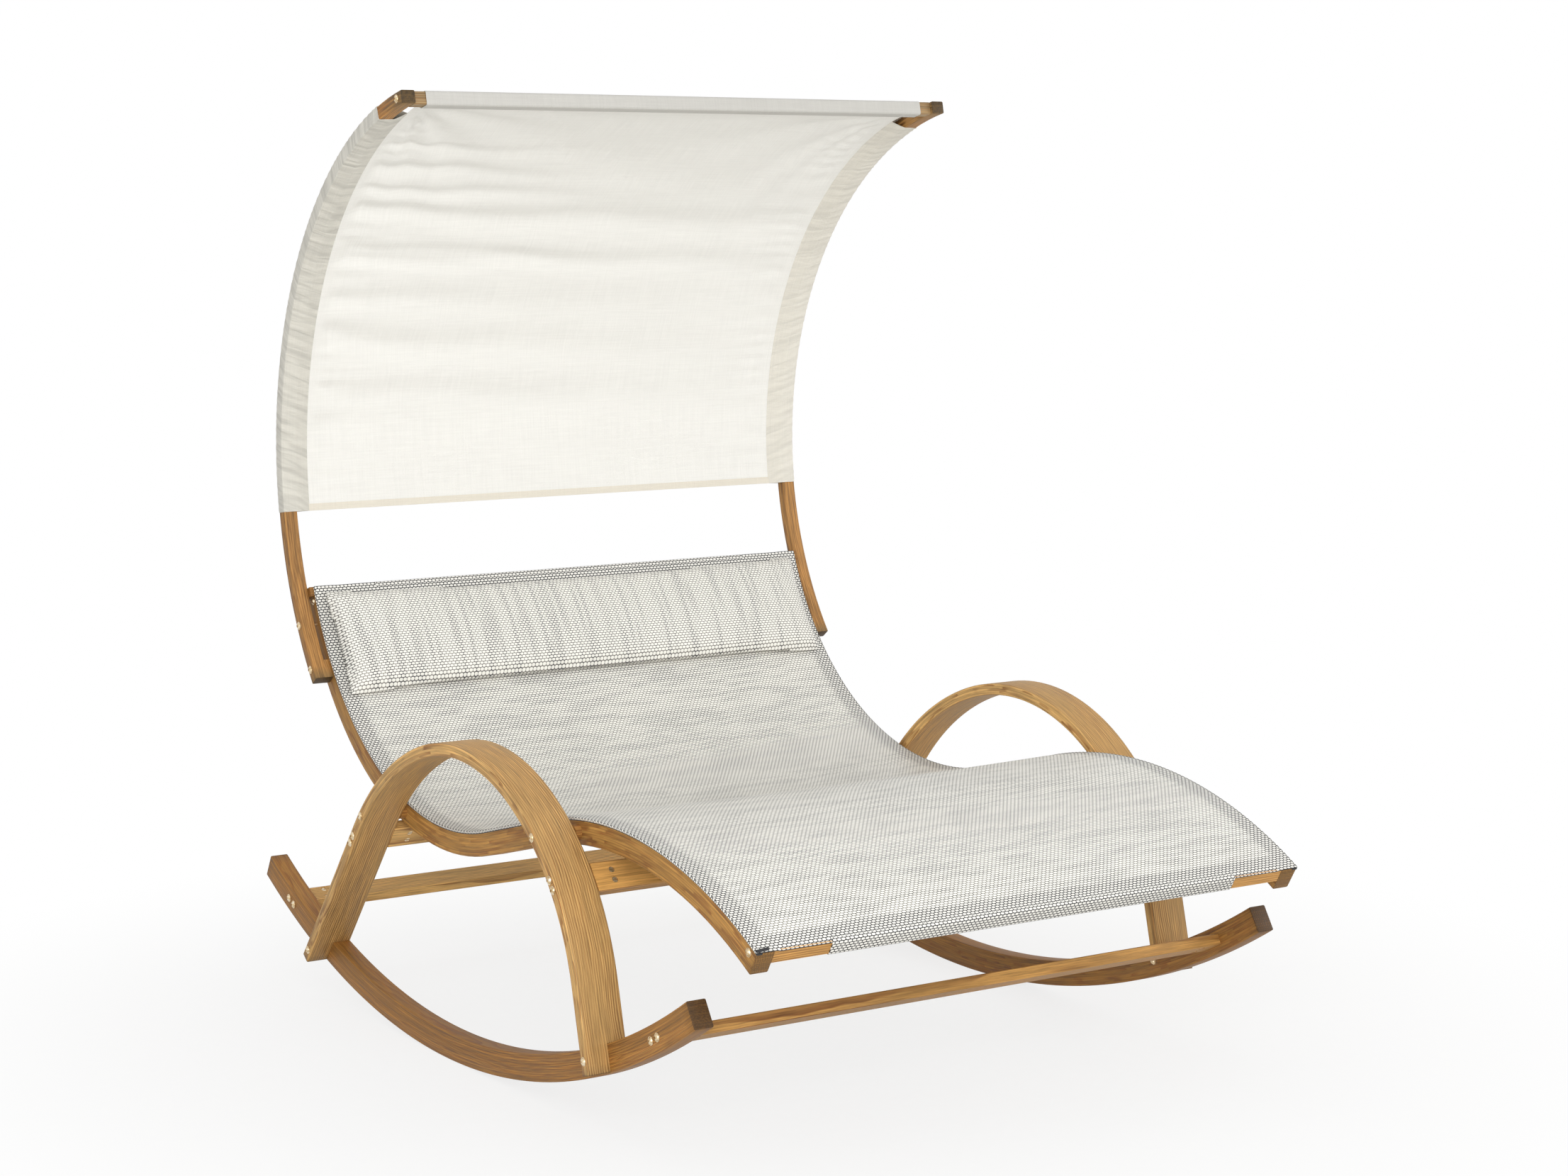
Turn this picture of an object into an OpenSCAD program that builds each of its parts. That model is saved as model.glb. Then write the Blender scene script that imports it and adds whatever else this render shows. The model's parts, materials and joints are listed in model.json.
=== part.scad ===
// Double rocking lounger: laminated wood frame, mesh sling, headrest pillow and cloth canopy.
// X runs across the lounger, the foot end is towards -Y, the head end towards +Y, Z is up.
// The origin is on the floor, in the middle of the lounger's footprint.

/* [Width] */
// Half width to the outer faces of the seat rails
rail_x = 650; // [560:1:720]
// Gap between a seat rail and the arch beside it
arch_gap = 13; // [8:1:20]
// Width of a seat rail
rail_w = 40; // [30:1:60]
// Width of a runner
runner_w = 42; // [34:1:60]
// Width of the part of an arch that laps the outside of the runner
lap_w = 48; // [30:1:70]
// Width of a canopy post
post_w = 32; // [24:1:44]
// Thickness of the pad that holds a post off the rail
post_pad = 11; // [6:0.5:12]

// How far the long edges of the timber are eased
ease = 2; // [1:0.5:4]

/* [Runners] */
// Radius of the sole that rocks on the floor
rock_r = 1868; // [1600:1:2200]
// Distance of the rocking centre behind the middle of the footprint
rock_y = 112; // [60:1:160]
// Depth of a runner
runner_d = 56; // [46:1:70]
// Angle of the runner's foot end from the rocking centre
runner_front = 32; // [28:0.1:34]
// Angle of the runner's head end from the rocking centre
runner_rear = 28.5; // [27:0.1:31]

/* [Arches] */
// Thickness of the bent band
arch_t = 26; // [20:1:34]
// Distance of the top of the crown in front of the middle of the footprint
crown_y = -36; // [-60:1:-10]
// Height of the top of the crown
crown_z = 688; // [640:1:740]
// Radius of the crown
crown_r = 513; // [480:1:560]
// How far the crown's own bend runs past its top towards the head end
crown_past = 17.7; // [12:0.1:24]
// Radius of the gentler bend above the rear leg
shoulder_r = 654; // [600:1:720]
// Lean of the rear leg from the vertical
rear_lean = 38.6; // [36:0.1:41]
// Lean of the front leg from the vertical
front_lean = 13.7; // [10:0.1:17]

/* [Seat rails] */
// Depth of a seat rail
rail_d = 51; // [40:1:60]
// Position of the foot end of the rails
foot_y = -1001; // [-1040:1:-970]
// Height of the foot end of the rails
foot_z = 443; // [410:1:480]
// Slope of the rails at the foot end
foot_slope = 30.8; // [28:0.1:34]
// Radius of the bend under the knees
knee_r = 1026; // [960:1:1080]
// Sweep of the bend under the knees
knee_sweep = 45.6; // [43:0.1:48]
// Length of the straight between the two bends
thigh_len = 248; // [200:1:290]
// Radius of the bend behind the back
back_r = 673; // [640:1:720]
// Sweep of the bend behind the back
back_sweep = 85.2; // [82:0.1:88]

/* [Bars] */
// Width of the bars that join the rails at the foot and head
end_bar_w = 43; // [36:1:56]
// Thickness of the bars that join the rails at the foot and head
end_bar_t = 31; // [24:1:36]
// Width of the crossbars between the arches
arch_bar_w = 60; // [50:1:76]
// Distance from the crown to the middle of the front crossbar, down the front of the arch
front_bar_run = 475; // [455:1:500]
// Distance from the top of the rear leg's straight to the middle of the rear crossbar
rear_bar_run = 35; // [31:1:60]
// Width of the crossbars between the runners
runner_bar_w = 52; // [44:1:64]
// Thickness of the crossbars between the runners
runner_bar_t = 24; // [20:1:32]
// Angle of the front runner crossbar from the rocking centre
front_low_angle = 27.4; // [25:0.1:28.5]
// Angle of the rear runner crossbar from the rocking centre
rear_low_angle = 24.2; // [22:0.1:25.5]

/* [Canopy frame] */
// Depth of a canopy post
post_d = 28; // [22:1:36]
// Radius of the middle of the posts
post_r = 808; // [760:1:850]
// Length of the posts along their middle
post_len = 1627; // [1500:1:1680]
// Distance of the lower post bolt from the head end of the rail
post_bolt_back = 187; // [180:1:200]
// Depth of the lower post bolt below the top of the rail
post_bolt_deep = 23; // [18:1:30]
// How much steeper the posts start than the rail beside them
post_turn = 0.3; // [-0.5:0.1:1]
// Length of the block between a post and the top of the rail
spacer_len = 20; // [14:1:30]
// Length of the pad at the foot of each post
pad_len = 45; // [40:1:60]
// Width of the bar that joins the posts
top_bar_w = 26; // [20:1:34]
// Distance of that bar's front face behind the ends of the posts
top_bar_set = 9; // [5:1:16]

/* [Cloth] */
// Thickness of the mesh
mesh_t = 2; // [1.5:0.5:4]
// Half length of the sleeve round the foot bar
foot_sleeve_x = 485; // [400:1:540]
// Half length of the sleeve round the head bar
head_sleeve_x = 498; // [400:1:540]
// Width of the black edging let into the tops of the rails
edging_w = 12; // [8:1:20]
// Depth of the black edging
edging_t = 2.5; // [2:0.5:4]
// Thickness of the canopy cloth
cloth_t = 1.5; // [1:0.1:3]
// Half width of the canopy panel, to the seams of the side sleeves
panel_x = 625; // [560:1:640]
// Distance along the posts from their lower ends to the hem of the canopy
hem_run = 402; // [330:1:480]
// Distance of the side sleeves' upper ends below the bar
sleeve_short = 79; // [40:1:120]
// Looseness of the sleeves round the posts and the bar
sleeve_loose = 0.4; // [0.3:0.1:2]
// Distance from the bar to the seam of its sleeve
bar_seam = 22; // [16:1:30]
// How far the bar's sleeve runs past the side seams of the panel
bar_sleeve_past = 7; // [0:1:20]
// Depth of the folds in the canopy panel
fold_d = 3; // [0:0.5:6]

/* [Pillow] */
// Half length of the pillow
pillow_x = 640; // [520:1:645]
// Height of the pillow down the backrest
pillow_h = 270; // [180:1:300]
// Thickness of the pillow at its crown
pillow_t = 48; // [30:1:70]
// Thickness of the cover and wadding round the hollow for the pillow's light filling
pillow_wall = 3; // [2.5:0.5:10]
// Thickness of the pillow's seams
pillow_seam = 3; // [2:0.5:6]
// Distance of the pillow's top corners below the head end of the rails
pillow_below = 14; // [8:1:60]
// How far the pillow's sides draw in between its corners
pillow_draw = 11; // [0:1:16]

/* [Fasteners] */
// Diameter of the bolts
bolt_d = 8; // [6:0.5:10]
// Clearance round a bolt in its hole
bolt_gap = 0.3; // [0.1:0.1:0.6]
// Diameter of a bolt head
head_d = 14.5; // [12:0.5:18]
// Height of a bolt head
head_h = 4.6; // [3:0.1:6]
// Width across the flats of the hexagon socket
socket_w = 5; // [4:0.5:6]
// Depth of the hexagon socket
socket_deep = 2.8; // [2:0.1:4]
// Diameter of a washer
washer_d = 18; // [16:0.5:22]
// Thickness of a washer
washer_t = 1.4; // [1:0.1:2]
// Diameter of a barrel nut
barrel_d = 12; // [11:0.5:13]
// Distance of a barrel nut from the end of its bar
barrel_in = 42; // [34:1:50]
// Depth of a barrel nut's ends below the faces of its bar
barrel_sunk = 1; // [0.5:0.5:3]
// Width of the slot in a barrel nut
slot_w = 2; // [1:0.5:3]
// Diameter of the spacers between the arches and the rails
spacer_d = 32; // [24:1:40]
// Width across the flats of a cap nut
nut_w = 13; // [12:0.5:16]
// Height of the hexagon of a cap nut
nut_h = 6; // [5:0.5:8]
// Spacing of the bolt pairs in the arches
arch_pair = 22; // [20:1:28]
// Spacing of the bolt pairs in the runners
runner_pair = 26; // [24:1:28]
// How far the head bar's bolts sit below its middle, clear of the post blocks
head_bolt_down = 8; // [7:0.5:9]
// Distance from the lower end of a post to its first bolt
post_bolt_in = 29; // [22:1:36]
// Spacing of the two bolts in each post
post_pair = 109; // [90:1:140]

/* [Hidden] */

$fn = 48;
wood = "#b5854f";
wood_dark = "#8a5c2c";
steel = "#cfc4ad";
mesh_cloth = "#dcdbd3";
canopy_cloth = "#f1efe8";
black = "#222222";

// Clearance between soft pieces and what they lie on
soft_gap = 0.3;
// Clearance between a curved seat and what stands on it
seat_gap = 0.3;
// Gap left between the end of a lap and the sole of the runner
lap_reveal = 1.5;
// How far the end bars sit in from the ends of the rails
end_inset = 1;
// How far a bolt runs on past its barrel nut's middle
bolt_past = 7;
// How far a cut runs past a face
cut = 1;
// Length over which the folds in the canopy fade out towards its rim
fold_fade = 120;
// Spacing of the broad folds in the canopy
fold_long = 242;
// Spacing of the narrow folds in the canopy
fold_short = 149;
// Number of straight steps in each bend
bend_steps = 40;

rail_in = rail_x - rail_w;
frame_x = rail_x + arch_gap;
runner_out = frame_x + runner_w;
arch_out = runner_out + lap_w;
post_in = rail_x + post_pad;
post_out = post_in + post_w;
hole_d = bolt_d + 2 * bolt_gap;

// Sides of the lounger: -1 is the left side and 1 the right side
module on_side(side) {
  if (side < 0) mirror([1, 0, 0]) children();
  else children();
}
module both_sides() {
  for (side = [-1, 1]) on_side(side) children();
}
// Turns a drawing in (Y, Z) into a solid between two planes across X
module across(x0, x1) {
  translate([x0, 0, 0]) rotate([90, 0, 90]) linear_extrude(x1 - x0) children();
}
// A drawing in (radius, X) turned about a centre in (Y, Z), from straight down towards +Y
module ring(cy, cz, a0, a1) {
  translate([0, cy, cz]) rotate([90, 0, 90]) rotate([0, 0, a0 - 90])
    rotate_extrude(angle = a1 - a0, $fn = 360) children();
}
// Cross-section between two values each way, with its corners cut off by e
module section(u0, u1, v0, v1, e = 0) {
  if (e == 0) translate([u0, v0]) square([u1 - u0, v1 - v0]);
  else polygon([[u0 + e, v0], [u1 - e, v0], [u1, v0 + e], [u1, v1 - e],
                [u1 - e, v1], [u0 + e, v1], [u0, v1 - e], [u0, v0 + e]]);
}

// A place and heading [y, z, angle] moved along a curve of signed radius r, where 0 is a straight
function moved(p, run, r = 0) =
  r == 0 ? [p[0] + run * cos(p[2]), p[1] + run * sin(p[2]), p[2]]
  : let (a = p[2] + run / r * 180 / PI)
    [p[0] + r * (sin(a) - sin(p[2])), p[1] - r * (cos(a) - cos(p[2])), a];
// Places along a chain of [length, signed radius, steps]
function places(p, chain, i = 0) =
  i == len(chain) ? [p]
  : let (c = chain[i])
    concat([for (j = [0 : c[2] - 1]) moved(p, c[0] * j / c[2], c[1])],
           places(moved(p, c[0], c[1]), chain, i + 1));
// Place at a distance along a chain
function at(p, chain, run, i = 0) =
  i == len(chain) - 1 || run <= chain[i][0] ? moved(p, run, chain[i][1])
  : at(moved(p, chain[i][0], chain[i][1]), chain, run - chain[i][0], i + 1);
// The same place moved sideways, where a positive offset is on the left of its heading
function beside(p, off) = [p[0] - off * sin(p[2]), p[1] + off * cos(p[2]), p[2]];
function flat(p) = [p[0], p[1]];
function band(path, off0, off1) =
  concat([for (p = path) flat(beside(p, off0))],
         [for (i = [len(path) - 1 : -1 : 0]) flat(beside(path[i], off1))]);
function arc_len(r, sweep) = r * sweep * PI / 180;
function total(chain, i = 0) = i == len(chain) ? 0 : chain[i][0] + total(chain, i + 1);
// Place on a circle about a centre, at an angle from straight down towards +Y
function on_ring(cy, cz, r, a) = [cy + r * sin(a), cz - r * cos(a), a];
// Two places with a gap between them, one each way along the heading
function pair(p, gap) = [for (k = [-1, 1]) moved(p, k * gap / 2)];

// Seat rail, along its upper face from the foot end to the head end
rail_start = [foot_y, foot_z, foot_slope];
rail_chain = [
  [arc_len(knee_r, knee_sweep), -knee_r, bend_steps],
  [thigh_len, 0, 4],
  [arc_len(back_r, back_sweep), back_r, bend_steps]];
rail_path = places(rail_start, rail_chain);
rail_len = total(rail_chain);
function rail_at(run) = at(rail_start, rail_chain, run);
function rail_mid(run) = beside(rail_at(run), -rail_d / 2);

// Arch, along its outer face both ways from the top of the crown
front_start = [crown_y, crown_z, 180];
rear_start = [crown_y, crown_z, 0];
front_bends = [[arc_len(crown_r, 90 - front_lean), crown_r, bend_steps]];
rear_bends = [
  [arc_len(crown_r, crown_past), -crown_r, bend_steps / 2],
  [arc_len(shoulder_r, 90 - rear_lean - crown_past), -shoulder_r, bend_steps / 2]];
front_knee = at(front_start, front_bends, total(front_bends));
rear_knee = at(rear_start, rear_bends, total(rear_bends));

// Straight run from a place along its heading to a circle round the rocking centre
function run_to(p, r) =
  let (q = [p[0] - rock_y, p[1] - rock_r], b = q * [cos(p[2]), sin(p[2])])
  -b + sqrt(b * b - (q * q - r * r));
// A leg ends square, where its first corner reaches the sole
lap_r = rock_r - lap_reveal;
front_leg = min(run_to(front_knee, lap_r), run_to(beside(front_knee, arch_t), lap_r));
rear_leg = min(run_to(rear_knee, lap_r), run_to(beside(rear_knee, -arch_t), lap_r));
front_chain = concat(front_bends, [[front_leg, 0, 1]]);
rear_chain = concat(rear_bends, [[rear_leg, 0, 1]]);

// Middles of the crossbars
front_bar_at = beside(at(front_start, front_chain, front_bar_run), arch_t / 2);
rear_bar_at = beside(moved(rear_knee, rear_bar_run), -arch_t / 2);
low_bar_r = rock_r - runner_d / 2;
front_low_at = on_ring(rock_y, rock_r, low_bar_r, -front_low_angle);
rear_low_at = on_ring(rock_y, rock_r, low_bar_r, rear_low_angle);

// How far a place lies outside the middle of the arch's front bend or of its rear leg
function past_front(q) = norm(flat(q) - [crown_y, crown_z - crown_r]) - (crown_r - arch_t / 2);
function past_rear(q) =
  (q[0] - rear_knee[0]) * -sin(rear_knee[2]) + (q[1] - rear_knee[1]) * cos(rear_knee[2])
  + arch_t / 2;
// Run along the rail at which its middle crosses the middle of the arch, halving in on it
function cross_run(inner, outer, rear, n = 0) =
  let (m = (inner + outer) / 2, q = rail_mid(m), past = rear ? past_rear(q) : past_front(q))
  n == 24 ? m : past > 0 ? cross_run(inner, m, rear, n + 1) : cross_run(m, outer, rear, n + 1);
rail_bolt_at = [rail_mid(cross_run(rail_len / 2, 0, false)),
                rail_mid(cross_run(rail_len / 2, rail_len, true))];

// Places of the other bolts
lap_bolt_at = [
  beside(moved(front_knee, front_leg - runner_d / 2), arch_t / 2),
  beside(moved(rear_knee, rear_leg - runner_d / 2), -arch_t / 2)];
foot_bar_at = beside(rail_at(end_bar_w / 2 + end_inset), -end_bar_t / 2);
head_bar_at = beside(rail_at(rail_len - end_bar_w / 2 - end_inset), -end_bar_t / 2);
head_bolt_at = moved(head_bar_at, -head_bolt_down);
// The posts' curve starts from the lower bolt in the rail
post_deg = 180 / PI / post_r;
post_bolt_low = beside(rail_at(rail_len - post_bolt_back), -post_bolt_deep);
post_bolt_a = post_bolt_low[2] + post_turn;
post_y = post_bolt_low[0] - post_r * sin(post_bolt_a);
post_z = post_bolt_low[1] + post_r * cos(post_bolt_a);
post_low = post_bolt_a - post_bolt_in * post_deg;
post_high = post_low + post_len * post_deg;
hem_angle = post_low + hem_run * post_deg;
bar_low = post_high - (top_bar_set + top_bar_w) * post_deg;
post_bolt_at = [for (a = [post_bolt_a, post_bolt_a + post_pair * post_deg])
  on_ring(post_y, post_z, post_r, a)];
top_bar_at = on_ring(post_y, post_z, post_r, post_high - (top_bar_set + top_bar_w / 2) * post_deg);
arch_pairs = concat(pair(front_bar_at, arch_pair), pair(rear_bar_at, arch_pair));
runner_pairs = concat(pair(front_low_at, runner_pair), pair(rear_low_at, runner_pair));

// A straight rod along X at each place
module rods(list, x0, x1, d) {
  for (p = list) translate([x0, p[0], p[1]]) rotate([0, 90, 0]) cylinder(h = x1 - x0, d = d);
}
module runner() {
  color(wood) difference() {
    ring(rock_y, rock_r, -runner_front, runner_rear)
      section(rock_r - runner_d, rock_r, frame_x, runner_out, ease);
    rods(concat(runner_pairs, lap_bolt_at), frame_x - cut, runner_out + cut, hole_d);
  }
}
// The leg's inner part stands on the runner and its outer part laps the runner's outside
module arch() {
  color(wood) difference() {
    across(frame_x, arch_out) polygon(concat(
      band(places(front_start, front_chain), 0, arch_t),
      band(places(rear_start, rear_chain), -arch_t, 0)));
    ring(rock_y, rock_r, -runner_front, runner_rear)
      section(rock_r - runner_d - seat_gap, rock_r + runner_d, frame_x - cut, runner_out);
    rods(concat(rail_bolt_at, arch_pairs, lap_bolt_at), frame_x - cut, arch_out + cut, hole_d);
  }
}
module seat_rail() {
  color(wood) difference() {
    across(rail_in, rail_x) polygon(band(rail_path, -rail_d, 0));
    across(rail_x - edging_w, rail_x + cut) polygon(band(rail_path, -edging_t, cut));
    rods(concat(rail_bolt_at, post_bolt_at, [foot_bar_at, head_bolt_at]),
         rail_in - cut, rail_x + cut, hole_d);
  }
}
module edging() {
  color(black) across(rail_x - edging_w, rail_x) polygon(band(rail_path, -edging_t, 0));
}
// Bar across the lounger with a row of bolts in each end, drawn about its middle
module bar(p, w, t, half, bolts) {
  color(wood) difference() {
    translate([-half, p[0], p[1]]) rotate([p[2], 0, 0]) rotate([90, 0, 90])
      linear_extrude(2 * half) section(-w / 2, w / 2, -t / 2, t / 2, ease);
    both_sides() {
      rods(bolts, half - barrel_in - bolt_past - cut, half + cut, hole_d);
      for (q = bolts) across_hole(q, half - barrel_in, t + 2 * cut, barrel_d + 2 * bolt_gap);
    }
  }
}
// A rod through the thickness of a bar
module across_hole(q, x, h, d) {
  translate([x, q[0], q[1]]) rotate([q[2], 0, 0]) cylinder(h = h, d = d, center = true);
}
module canopy_post() {
  color(wood) difference() {
    union() {
      ring(post_y, post_z, post_low, post_high)
        section(post_r - post_d / 2, post_r + post_d / 2, post_in, post_out, ease);
      ring(post_y, post_z, post_low, post_low + pad_len * post_deg)
        section(post_r - post_d / 2, post_r + post_d / 2, rail_x, post_out, ease);
    }
    rods(concat(post_bolt_at, [top_bar_at]), rail_x - cut, post_out + cut, hole_d);
  }
}
// Block that holds the post off the top of the rail
module post_spacer() {
  end = rail_at(rail_len - end_inset);
  low = moved(end, -spacer_len);
  color(wood_dark) across(rail_x, post_in) intersection() {
    polygon([for (c = [[low, -rail_d], [end, -rail_d], [end, -end_inset], [low, -end_inset]])
      flat(beside(c[0], c[1]))]);
    translate([post_y, post_z]) circle(r = post_r + post_d / 2, $fn = 360);
  }
}
module arch_spacer_set() {
  color(wood_dark) both_sides() difference() {
    rods(rail_bolt_at, rail_x, frame_x, spacer_d);
    rods(rail_bolt_at, rail_x - cut, frame_x + cut, hole_d);
  }
}

// Domed bolts with hexagon sockets: the washers lie on the face at x and the shanks end at x1
module bolts(list, x, x1) {
  r = head_d / 2;
  dome = (r * r + head_h * head_h) / (2 * head_h);
  color(steel) both_sides() for (p = list)
    translate([x + washer_t, p[0], p[1]]) rotate([0, 90, 0]) difference() {
      union() {
        translate([0, 0, x1 - x - washer_t]) cylinder(h = x + washer_t - x1, d = bolt_d);
        intersection() {
          cylinder(h = head_h, d = head_d);
          translate([0, 0, head_h - dome]) sphere(r = dome);
        }
      }
      translate([0, 0, head_h - socket_deep])
        cylinder(h = socket_deep + cut, d = socket_w / cos(30), $fn = 6);
    }
}
module washers(list, x) {
  both_sides() difference() {
    rods(list, x, x + washer_t, washer_d);
    rods(list, x - cut, x + washer_t + cut, hole_d);
  }
}
// Cap nuts on the inner face at x, pointing to the middle of the lounger
module cap_nuts(list, x) {
  color(steel) both_sides() for (p = list)
    translate([x, p[0], p[1]]) rotate([0, -90, 0]) difference() {
      union() {
        cylinder(h = nut_h, d = nut_w / cos(30), $fn = 6);
        translate([0, 0, nut_h]) difference() {
          sphere(d = nut_w - 1);
          translate([0, 0, -nut_w]) cylinder(h = nut_w, d = 2 * nut_w);
        }
      }
      translate([0, 0, -cut]) cylinder(h = nut_h + cut, d = hole_d);
    }
}
// Barrel nuts across a bar, each with the bolt's hole through it and a slot in both ends
module barrel_nuts(list, x, t) {
  color(steel) both_sides() difference() {
    for (p = list) across_hole(p, x, t - 2 * barrel_sunk, barrel_d);
    for (p = list, end = [-1, 1]) translate([x, p[0], p[1]]) rotate([p[2], 0, 0])
      translate([0, 0, end * (t / 2 - barrel_sunk)])
        cube([barrel_d + 2 * cut, slot_w, 2 * slot_w], center = true);
    rods(list, x - barrel_d, x + barrel_d, hole_d);
  }
}

// Mesh over the rails, with a folded sleeve round each end bar
mesh_low = soft_gap;
mesh_high = soft_gap + mesh_t;
module bar_wrap(p, half) {
  in_w = end_bar_w + 2 * soft_gap;
  in_t = end_bar_t + 2 * soft_gap;
  translate([0, p[0], p[1]]) rotate([p[2], 0, 0]) difference() {
    cube([2 * half, in_w + 2 * mesh_t, in_t + 2 * mesh_t], center = true);
    cube([2 * half + 2 * cut, in_w, in_t], center = true);
  }
}
module sling() {
  color(mesh_cloth) {
    across(-rail_x, rail_x) polygon(band(rail_path, mesh_low, mesh_high));
    bar_wrap(foot_bar_at, foot_sleeve_x);
    bar_wrap(head_bar_at, head_sleeve_x);
  }
}

// Closed sheet of two grids of points of the same size, with triangles all over
function grid_faces(cols, rows, base, flip) = [
  for (i = [0 : cols - 1], j = [0 : rows - 1])
    let (a = base + i * (rows + 1) + j, b = a + rows + 1)
    each flip ? [[a, b, a + 1], [b, b + 1, a + 1]] : [[a, a + 1, b], [b, a + 1, b + 1]]];
function rim_faces(cols, rows) =
  let (n = (cols + 1) * (rows + 1), r = rows + 1,
       rim = concat([for (j = [0 : rows - 1]) j], [for (i = [0 : cols - 1]) i * r + rows],
                    [for (j = [rows : -1 : 1]) cols * r + j], [for (i = [cols : -1 : 1]) i * r]))
  [for (k = [0 : len(rim) - 1]) let (a = rim[k], b = rim[(k + 1) % len(rim)])
    each [[a, a + n, b], [b, a + n, b + n]]];
module closed_sheet(lower, upper, cols, rows) {
  polyhedron(points = concat(lower, upper),
    faces = concat(grid_faces(cols, rows, 0, false),
                   grid_faces(cols, rows, len(lower), true), rim_faces(cols, rows)));
}

// Pillow: a crowned pad on the mesh over the head sleeve, with its sides drawn in
pillow_cols = 36;
pillow_rows = 14;
fill_cols = 8;
fill_rows = 4;
pillow_top = rail_len - pillow_below;
function crown_of(u, v) = pow(1 - pow(abs(u), 14), 0.5) * pow(sin(v * 180), 0.45);
// Height of the crown above the mesh, at shares of the pillow's length and height
function pillow_up(u, v) = pillow_seam + pillow_t * crown_of(u, max(0, min(1, v)));
function pillow_place(u, v, up) =
  let (x = u * (pillow_x - pillow_draw * sin(v * 180)),
       run = pillow_top - v * pillow_h - pillow_draw * (1 - u * u) * (1 - 2 * v),
       q = beside(rail_at(run), mesh_high + soft_gap + up))
  [x, q[0], q[1]];
function pillow_point(i, j, upper) =
  let (t = 2 * i / pillow_cols - 1, v = j / pillow_rows,
       u = sign(t) * (1 - pow(1 - abs(t), 1.35)))
  pillow_place(u, v, upper ? pillow_up(u, v) : 0);
// The hollow stays inside the facets of the cover, where its crown is steepest too
fill_u = 1 - 9.6 * pillow_wall / pillow_x;
fill_v = 7.65 * pillow_wall / pillow_h;
function fill_point(i, j, upper) =
  let (u = fill_u * (2 * i / fill_cols - 1), v = fill_v + (1 - 2 * fill_v) * j / fill_rows)
  pillow_place(u, v, upper ? pillow_up(u, v) - pillow_wall * 4 / 3 : pillow_wall);
module headrest_pillow() {
  outer = [for (upper = [false, true])
    [for (i = [0 : pillow_cols], j = [0 : pillow_rows]) pillow_point(i, j, upper)]];
  inner = [for (upper = [false, true])
    [for (i = [0 : fill_cols], j = [0 : fill_rows]) fill_point(i, j, upper)]];
  color(mesh_cloth) difference() {
    closed_sheet(outer[0], outer[1], pillow_cols, pillow_rows);
    closed_sheet(inner[0], inner[1], fill_cols, fill_rows);
  }
}

// Canopy: a panel with a sleeve round each post along its sides and one round the bar
panel_cols = 20;
panel_rows = 28;
panel_len = post_len - hem_run - top_bar_set - top_bar_w - bar_seam;
// Height of the folds at a distance across and up the panel, which fade out towards its rim
function fold(x, up) =
  fold_d * min(1, (panel_x - abs(x)) / fold_fade, up / fold_fade, (panel_len - up) / fold_fade)
  * (sin(360 * up / fold_long) + 0.6 * sin(360 * (up / fold_short - x / panel_x / 4))) / 1.6;
function panel_point(i, j, off) =
  let (x = panel_x * (2 * i / panel_cols - 1),
       up = panel_len * j / panel_rows,
       q = on_ring(post_y, post_z, post_r + fold(x, up) + off, hem_angle + up * post_deg))
  [x, q[0], q[1]];
module canopy_panel() {
  grids = [for (off = [cloth_t / 2, -cloth_t / 2])
    [for (i = [0 : panel_cols], j = [0 : panel_rows]) panel_point(i, j, off)]];
  color(canopy_cloth) closed_sheet(grids[0], grids[1], panel_cols, panel_rows);
}
module post_sleeve() {
  in = post_d / 2 + sleeve_loose;
  out = in + cloth_t;
  x0 = post_in - sleeve_loose;
  x1 = post_out + sleeve_loose;
  color(canopy_cloth) ring(post_y, post_z, hem_angle, bar_low - sleeve_short * post_deg)
    translate([post_r, 0]) difference() {
      polygon([[-out, x0 - cloth_t], [-out, x1 + cloth_t], [out, x1 + cloth_t],
               [out, x0 - cloth_t], [cloth_t, panel_x + soft_gap], [-cloth_t, panel_x + soft_gap]]);
      polygon([[-in, x0], [-in, x1], [in, x1], [in, x0]]);
    }
}
module canopy_bar_sleeve() {
  half = panel_x + bar_sleeve_past;
  in_t = post_d / 2 + sleeve_loose;
  in_w = top_bar_w / 2 + sleeve_loose;
  out_t = in_t + cloth_t;
  out_w = in_w + cloth_t;
  seam = soft_gap - top_bar_w / 2 - bar_seam;
  color(canopy_cloth) translate([0, top_bar_at[0], top_bar_at[1]]) rotate([top_bar_at[2], 0, 0])
    across(-half, half) difference() {
      polygon([[out_w, -out_t], [out_w, out_t], [-out_w, out_t],
               [seam, cloth_t], [seam, -cloth_t], [-out_w, -out_t]]);
      polygon([[in_w, -in_t], [in_w, in_t], [-in_w, in_t], [-in_w, -in_t]]);
    }
}

on_side(-1) runner();  // left_runner
on_side(1) runner();  // right_runner
on_side(-1) arch();  // left_arch
on_side(1) arch();  // right_arch
on_side(-1) seat_rail();  // left_seat_rail
on_side(1) seat_rail();  // right_seat_rail
bar(foot_bar_at, end_bar_w, end_bar_t, rail_in, [foot_bar_at]);  // foot_bar
bar(head_bar_at, end_bar_w, end_bar_t, rail_in, [head_bolt_at]);  // head_bar
bar(front_bar_at, arch_bar_w, arch_t, frame_x, pair(front_bar_at, arch_pair));  // upper_front_crossbar
bar(rear_bar_at, arch_bar_w, arch_t, frame_x, pair(rear_bar_at, arch_pair));  // upper_rear_crossbar
bar(front_low_at, runner_bar_w, runner_bar_t, frame_x, pair(front_low_at, runner_pair));  // lower_front_crossbar
bar(rear_low_at, runner_bar_w, runner_bar_t, frame_x, pair(rear_low_at, runner_pair));  // lower_rear_crossbar
on_side(-1) canopy_post();  // left_canopy_post
on_side(1) canopy_post();  // right_canopy_post
bar(top_bar_at, top_bar_w, post_d, post_in, [top_bar_at]);  // canopy_bar
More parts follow.
